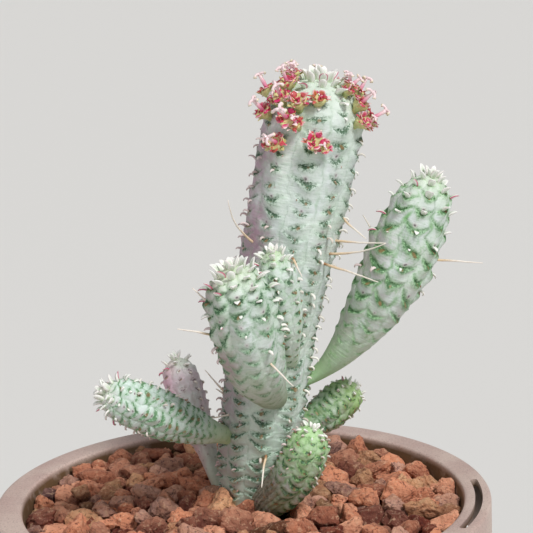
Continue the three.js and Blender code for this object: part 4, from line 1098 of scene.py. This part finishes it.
hook_draw = np.random.default_rng(53)
for name, stem in GROWN.items():
    heap = Heap()
    vigour = np.clip(stem.r.max() / 9, 0.6, 1)
    for rib, row, age in peaks(stem):
        ripe = age / STEMS[name]["leaf_rows"]
        if ripe <= 1.15:
            continue
        aside = hook_draw.normal(0.05, 0.08)
        root, out, up, lean = stem.seat(rib + aside, row, -HOOK_SUNK)
        # Handling has worn more of them off the front, and left stubs there.
        worn = hook_draw.random() > HOOK_SHARE + 1.1 * min(0, out[1] + 0.25)
        if is_hidden(name, root + out) or root[2] < POT_TOP + 3:
            continue
        if name != "trunk" and stem.row_m[row] < (BARE_NECK - 0.1 * out[1]) * stem.total:
            continue
        old = min(1, max(0, (POT_TOP + 45 - root[2]) / 45))
        scale = hook_draw.uniform(0.2, 0.42) if worn else hook_draw.uniform(0.7, 1.1) * (1 - 0.35 * old)
        lift = math.radians(HOOK_LIFT + hook_draw.normal(0, 14))
        bend = math.radians(HOOK_CURL + hook_draw.normal(0, 35))
        size = [HOOK_LENGTH * scale * vigour, HOOK_WIDTH * scale * vigour, HOOK_THICK]
        rings, share, _ = blade(root, out, up, size, lift, bend, 2.2, 0.1, mesh=HOOK_MESH)
        dryness = np.clip(0.05 + 0.5 * old + 0.8 * worn + hook_draw.normal(0, 0.15), 0, 1)
        # Painted shade in part: the pink blush grows on hooks that face left, away from the key light.
        heap.add(rings, share=share, dryness=dryness, blush=max(0, -out[0]))
    if heap.count:
        hooks = heap.piece("hooks_" + name, dry_leaf)
        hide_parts(name)

# ----------------------------------------------------------
# Thorns: woody stalks of old blooms that have hardened into spines, brown where they leave the skin
# and bleached towards the tip. A few are bowed.
# Each is [stem, root inside it, tip, sag of the bow].
THORNS = [
    ["trunk", [8, -5, 184.6], [-1.1, -12, 200.9], -2.4],
    ["trunk", [28.1, -2.4, 185.6], [44.3, -13, 186.7], 0.3],
    ["trunk", [26.6, -4.4, 182], [44.2, -16, 187.5], 1.5],
    ["trunk", [32, 0, 191.8], [38.7, -9, 187.1], 0],
    ["trunk", [25.8, -6.3, 179.6], [41.6, -17, 176.2], 0],
    ["trunk", [-2, 0.7, 135.8], [-10.2, 6, 144.2], 0],
    ["trunk", [-2.2, 0.1, 137.2], [-6.8, -6, 141.9], 0],
    ["trunk", [1.6, -4.7, 134], [-9.4, -10, 133.9], 0],
    ["trunk", [16, 10, 170], [8, 27, 173], 1],
    ["trunk", [4, 8, 150], [-6, 22, 154], 0],
    ["trunk", [22, 12, 188], [27, 29, 185], 1],
    ["trunk", [12, 8, 122], [21, 21, 119], 0],
    ["branch_front", [-4.6, -32.5, 166.2], [-16.4, -40, 170.7], 0],
    ["branch_front", [-5, -32.5, 174], [-12.1, -28, 179.3], 0],
    ["branch_front", [6.3, -33.1, 161.2], [15.9, -43, 153.6], 0],
    ["branch_slim", [17, -22, 185.5], [19.4, -30, 182], 0],
    ["branch_right", [42.7, -6.7, 185.6], [38.5, 6, 190.6], 0],
    ["branch_right", [56.6, -4.3, 179.1], [72.8, -8, 178.4], 0],
    ["branch_right", [50, 2, 177], [54, 15, 175], 0],
    ["branch_foot", [7.2, -12, 122.8], [5.8, -22, 116.1], 0],
]
THORN_RADIUS = 0.42
THORN_POINT = 0.12
THORN_STEPS = 22
THORN_SIDES = 10
THORN_WAVE = 0.18

thorn_wood, tree, shader = finish_of("thorn_wood", 0.5)
grain = cloudy(tree, 0.8, 4)
wood = blend(tree, fade(tree, field(tree, "share"), 0.25, 0.6), tint(234, 206, 172), tint(250, 240, 228))
wood = blend(tree, fade(tree, field(tree, "share"), 0.16, 0.06), wood, tint(166, 122, 84))
wood = coat(tree, wood, tint(170, 126, 92), fade(tree, grain, 0.5, 0.7), 0.25)
dress(tree, shader, wood, grain, 0.08)

thorns_of = {}
for name, root, point, sag in THORNS:
    root, point = np.array(root, float), np.array(point, float)
    along = unit(point - root)
    side = unit(np.cross(along, BACKWARD))
    up = np.cross(side, along)
    share = np.linspace(0, 1, THORN_STEPS)
    middle = root + (point - root) * share[:, None] - side * (4 * sag * share * (1 - share))[:, None]
    middle += THORN_WAVE * np.stack([ripple(middle, 6, seed) for seed in (5, 6, 7)], -1)
    middle += point - middle[-1]
    thick = THORN_POINT + (THORN_RADIUS - THORN_POINT) * (1 - share) ** 0.75
    turn = turns(THORN_SIDES)[:, None]
    ring = side * np.cos(turn) + up * np.sin(turn)
    rings = middle[:, None] + ring * thick[:, None, None]
    thorns_of.setdefault(name, Heap()).add(rings, share=share[:, None])
for name, heap in thorns_of.items():
    thorns = heap.piece("thorns_" + name, thorn_wood)
    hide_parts(name)

# ----------------------------------------------------------
# Blooms: each a small fleshy cup on a short stalk, yellow-green, with five crimson to orange glands
# round its mouth and pink styles that fork and curl. They crowd the axils round the trunk's crown.
# Each is [rib, half rows below the tip, size, styles that stand out].
BLOOMS = [
    [2.75, 5, 1.1, 2], [3.42, 7, 1.05, 1], [3.67, 9, 1.05, 1], [4.33, 9, 1.15, 0], [3.25, 11, 1.05, 1],
    [4.17, 11, 1.15, 1], [4, 14, 1.1, 1], [5.04, 13, 1.1, 0], [4.92, 8, 1, 0], [6.92, 5, 1.1, 2],
    [6.75, 8, 1.05, 1], [6.58, 10, 1, 0], [7.42, 10, 1.1, 1], [8, 7, 1.05, 1], [8.83, 6, 1.1, 1],
    [9.42, 8, 1.05, 0], [0.17, 6, 1.1, 1], [1, 8, 1.05, 1], [1.67, 6, 1.1, 2], [2.33, 9, 1.05, 1],
]
# Where a second, smaller cup has opened beside a bloom, and how far off it is.
TWINS = {0: -2.4, 2: 2.2, 5: -2.2, 6: 2.4, 7: -2.6, 9: 2.4, 12: 2.4, 13: -2.2}
TWIN_SIZE = 0.72
BLOOM_SUNK = 0.4
BLOOM_LEAN = 0.45
BLOOM_TURN = 1.3
# The cup's wall and its mouth are [radius, height] from the stalk's foot.
CUP_PROFILE = [[0.8, -1.5], [0.85, 0.4], [0.95, 1.1], [1.45, 1.7], [1.85, 2.5], [1.98, 3.2], [1.9, 3.7]]
CUP_MOUTH = [[1.5, 3.75], [1.15, 3.4], [0.6, 3.25], [0.12, 3.25]]
CUP_HEIGHT = 3.7
CUP_SIDES = 30
CUP_LOBING = 0.07
CRUMPLE = 0.2
CRUMPLE_SIZE = 1.3
GLANDS = 5
BRACTS = 7
FLAKES = 16
STAMENS = 6
UPWARD = np.array([0, 0, 1.0])
STYLE_LENGTH = 3.2
STYLE_RADIUS = 0.5
STYLE_ARM = 1.6
STYLE_ARMS = 3
STYLE_FOOT = np.array([0, 0, 3.0])
# Blooms further below the tip than this have grown larger, and their styles longer, by these shares.
LOW_BLOOM = 6
LOW_GROWTH = (1.12, 1.3)

cup_wax, tree, shader = finish_of("cup_wax", 0.5, Coat_Weight=0.1)
green = blend(tree, fade(tree, field(tree, "share"), 0.1, 0.8), tint(176, 192, 128), tint(214, 210, 146))
green = coat(tree, green, tint(206, 140, 100), fade(tree, cloudy(tree, 1.6), 0.45, 0.7), 0.5)
dress(tree, shader, green, cloudy(tree, 0.6), 0.08)

gland_flesh, tree, shader = finish_of("gland_flesh", 0.35, Coat_Weight=0.3, Coat_Roughness=0.2)
red = blend(tree, field(tree, "tone"), tint(214, 48, 108), tint(196, 104, 60))
red = blend(tree, fade(tree, cloudy(tree, 0.9), 0.5, 0.75), red, tint(160, 28, 62))
red = coat(tree, red, tint(246, 204, 206), fade(tree, field(tree, "share"), 0.55, 1.0), 0.75)
dress(tree, shader, red, cloudy(tree, 0.35), 0.06)

style_flesh, tree, shader = finish_of("style_flesh", 0.4, Coat_Weight=0.2)
pink = blend(tree, fade(tree, field(tree, "share"), 0.1, 0.55), tint(232, 120, 164), tint(252, 226, 228))
pink = blend(tree, fade(tree, field(tree, "share"), 0.88, 1.0), pink, tint(240, 232, 200))
tree.links.new(pink, shader.inputs["Base Color"])


def tube(middle, thick, sides=8):
    """Rings of a round bar along a line of points, with a radius at each."""
    middle = np.asarray(middle, float)
    along = unit(np.gradient(middle, axis=0))
    guide = np.where(abs(along[:, :1]) < 0.8, [[1.0, 0, 0]], [[0, 1.0, 0]])
    guide = np.broadcast_to(guide[0], along.shape)
    side = unit(np.cross(along, guide))
    other = np.cross(along, side)
    turn = turns(sides)[:, None]
    ring = side[:, None] * np.cos(turn) + other[:, None] * np.sin(turn)
    return middle[:, None] + ring * np.asarray(thick)[:, None, None]


def add_style(heap, put, draw, lean, turn, longer=1.0):
    """One style: a column that leans out of the cup and forks into curled arms."""
    way = math.sin(lean) * heading(turn) + math.cos(lean) * UPWARD
    reach = way * STYLE_LENGTH * longer
    t = np.linspace(0, 1, 7)[:, None]
    column = tube(STYLE_FOOT + reach * t, STYLE_RADIUS * (1 - 0.15 * t[:, 0]))
    heap.add(put(column), 2, share=0.6 * t, tone=0)
    fork = STYLE_FOOT + reach * 0.97
    side = unit(np.cross(way, [0.3, 0.9, 0.1]))
    other = np.cross(way, side)
    start = draw.uniform(0, 2 * math.pi)
    for turn in turns(STYLE_ARMS):
        angle = start + turn + draw.normal(0, 0.2)
        outward = side * math.cos(angle) + other * math.sin(angle)
        t = np.linspace(0, 1, 8)[:, None]
        curl = 0.35 + 2.3 * t
        step = (way * np.cos(curl) + outward * np.sin(curl)) * STYLE_ARM * longer / 7
        line = fork + np.cumsum(step, axis=0) - step[0]
        thick = STYLE_RADIUS * (0.8 - 0.25 * t[:, 0] + 0.35 * (t[:, 0] > 0.85))
        heap.add(put(tube(line, thick)), 2, share=0.6 + 0.4 * t, tone=0)


def add_cup(heap, put, draw, spread_open):
    """One bloom's cup, with its glands, bracts, crumpled flakes and stamens."""
    turn = turns(CUP_SIDES)
    rings = []
    for r, z in CUP_PROFILE + CUP_MOUTH:
        lobed = r * (1 + CUP_LOBING * np.cos(GLANDS * turn) * min(1, max(0, z - 1)))
        rings.append(np.stack([lobed * np.cos(turn), lobed * np.sin(turn), z + 0 * turn], -1))
    heights = np.array([z for _, z in CUP_PROFILE + CUP_MOUTH])[:, None] / CUP_HEIGHT
    heap.add(put(np.array(rings)), 0, share=np.clip(heights, 0, 1), tone=0)
    warm = np.clip(draw.normal(0.35, 0.3), 0, 1)
    open_angle = 0.5 if spread_open else 0.95
    for k in range(GLANDS):
        away = heading((k + 0.5) * 2 * math.pi / GLANDS)
        lift = open_angle + draw.normal(0, 0.15)
        gland_size = [1.5 * draw.uniform(0.85, 1.15), 1.9, 0.5]
        lobe, share, edge = blade(away * 1.2 + [0, 0, 3.35], away, UPWARD, gland_size, lift, -0.5, 1, 0.15)
        tone = np.clip(warm + draw.normal(0, 0.15), 0, 1)
        heap.add(put(lobe), 1, share=np.maximum(share, edge) * (draw.random() < 0.6), tone=tone)
    for k in range(BRACTS):
        away = heading((k + draw.uniform(-0.2, 0.2)) * 2 * math.pi / BRACTS)
        lift = 1.0 + draw.normal(0, 0.25)
        bract_size = [draw.uniform(1.5, 2.4), 1.1, 0.22]
        bract, share, _ = blade(away * 1.5 + [0, 0, 2.3], away, UPWARD, bract_size, lift, -0.4)
        look, share = (2, 0.3 + 0.7 * share) if draw.random() < 0.45 else (0, 0.9)
        heap.add(put(bract), look, share=share, tone=0)
    for _ in range(FLAKES):
        away, reach = heading(draw.uniform(0, 2 * math.pi)), draw.uniform(0.9, 1.9)
        flake_size = [draw.uniform(0.9, 1.7), draw.uniform(0.6, 1), 0.25]
        lift = draw.uniform(0.2, 1.5)
        flake, share, _ = blade(away * reach + [0, 0, 3.2], away, UPWARD, flake_size, lift, -0.8)
        heap.add(put(flake), 1, share=share * (draw.random() < 0.7), tone=draw.uniform(0, 0.9))
    for _ in range(STAMENS):
        away, reach = heading(draw.uniform(0, 2 * math.pi)), draw.uniform(0.1, 0.85)
        line = away * reach + [0, 0, 3.1] + UPWARD * np.linspace(0, 1, 5)[:, None] * draw.uniform(0.7, 1.3)
        stamen = tube(line, [0.16, 0.15, 0.22, 0.3, 0.1], 6)
        heap.add(put(stamen), 1, share=0.5, tone=draw.uniform(0, 0.4))


def placer(rib, below, size, scale=1.0, shift=(0, 0, 0)):
    """A function that crumples a bloom's rings a little and sets them at their seat on the trunk."""
    trunk = GROWN["trunk"]
    root, out, up, _ = trunk.seat(rib, len(trunk.row_m) - 1 - below, -BLOOM_SUNK)
    axis = unit(out + BLOOM_LEAN * up)
    across = unit(np.cross(axis, up))
    axes = np.stack([across, np.cross(axis, across), axis])

    def put(rings):
        rings = rings * scale + shift
        crumpled = rings + CRUMPLE * np.stack([ripple(rings, CRUMPLE_SIZE, 70 + i) for i in range(3)], -1)
        return root + (crumpled * size) @ axes

    return put


for index, (rib, below, size, styles) in enumerate(BLOOMS):
    draw = np.random.default_rng(60 + index)
    larger, longer = LOW_GROWTH if below > LOW_BLOOM else (1, 1)
    size *= larger
    put = placer(rib, below, size)
    heap = Heap()
    add_cup(heap, put, draw, styles)
    if index in TWINS:
        put_twin = placer(rib, below, size, TWIN_SIZE, [TWINS[index], 0.4, -0.2])
        add_cup(heap, put_twin, draw, 1)
        add_style(heap, put_twin, draw, 0.3, index)
    for k in range(styles):
        lean = 0.5 if styles > 1 else 0.12
        add_style(heap, put, draw, lean, index * BLOOM_TURN + k * math.pi, longer)
    name = f"bloom_{index + 1:02d}"
    made = heap.piece(name + "_head", cup_wax, gland_flesh, style_flesh)
    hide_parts(name)

# ----------------------------------------------------------
# Setting: a plain pale floor, soft studio light from above and to the right, and the camera where the
# photograph was taken from.
FLOOR_REACH = 4000
floor_paint, tree, shader = finish_of("floor_paint", 0.8)
shader.inputs["Base Color"].default_value = tint(222, 220, 216)
corners = [[-1, -1, 0], [1, -1, 0], [1, 1, 0], [-1, 1, 0]]
floor = mesh_piece("floor", np.array(corners) * FLOOR_REACH, [[0, 1, 2, 3]], floor_paint)

world = bpy.data.worlds.new("studio")
world.use_nodes = True
world.node_tree.nodes["Background"].inputs["Color"].default_value = tint(236, 238, 242)
world.node_tree.nodes["Background"].inputs["Strength"].default_value = 0.34
bpy.context.scene.world = world

# Each light is [name, place it shines from, how widely it spreads in degrees, strength].
LIGHTS = [
    ["key", [0.75, -0.9, 1.5], 14, 2.5],
    ["fill", [-1.0, -0.8, 0.5], 60, 0.45],
]
for name, spot, spread, strength in LIGHTS:
    light = bpy.data.lights.new(name, "SUN")
    light.angle, light.energy = math.radians(spread), strength
    lamp = bpy.data.objects.new(name, light)
    bpy.context.scene.collection.objects.link(lamp)
    lamp.rotation_mode = "QUATERNION"
    lamp.rotation_quaternion = Vector(spot).to_track_quat("Z", "Y")

# The camera's measures were found by matching the pot's rim and the stems to the photograph.
PHOTO_SIDE = 533
FOCUS_PIXELS = 2703
CAMERA_GAP = 800
CAMERA_PITCH = math.radians(14.98)
CAMERA_ROLL = math.radians(-1.9)
CAMERA_AIM = [9.4, 0, POT_TOP + 72.4]
SENSOR = 36
pitch_sin, pitch_cos = math.sin(CAMERA_PITCH), math.cos(CAMERA_PITCH)
ahead = np.array([0, pitch_cos, -pitch_sin])
upright = np.array([0, pitch_sin, pitch_cos])
level = np.array([1.0, 0, 0])
right = level * math.cos(CAMERA_ROLL) + upright * math.sin(CAMERA_ROLL)
top = upright * math.cos(CAMERA_ROLL) - level * math.sin(CAMERA_ROLL)
camera_data = bpy.data.cameras.new("camera")
camera_data.sensor_width = SENSOR
camera_data.lens = FOCUS_PIXELS / PHOTO_SIDE * SENSOR
camera_data.clip_start, camera_data.clip_end = 0.01, 50
camera = bpy.data.objects.new("camera", camera_data)
bpy.context.scene.collection.objects.link(camera)
eye = (np.array(CAMERA_AIM) - ahead * CAMERA_GAP) * MM
matrix = [[right[i], top[i], -ahead[i], eye[i]] for i in range(3)]
camera.matrix_world = Matrix([*matrix, [0, 0, 0, 1]])
bpy.context.scene.camera = camera
bpy.context.scene.view_settings.view_transform = "Standard"
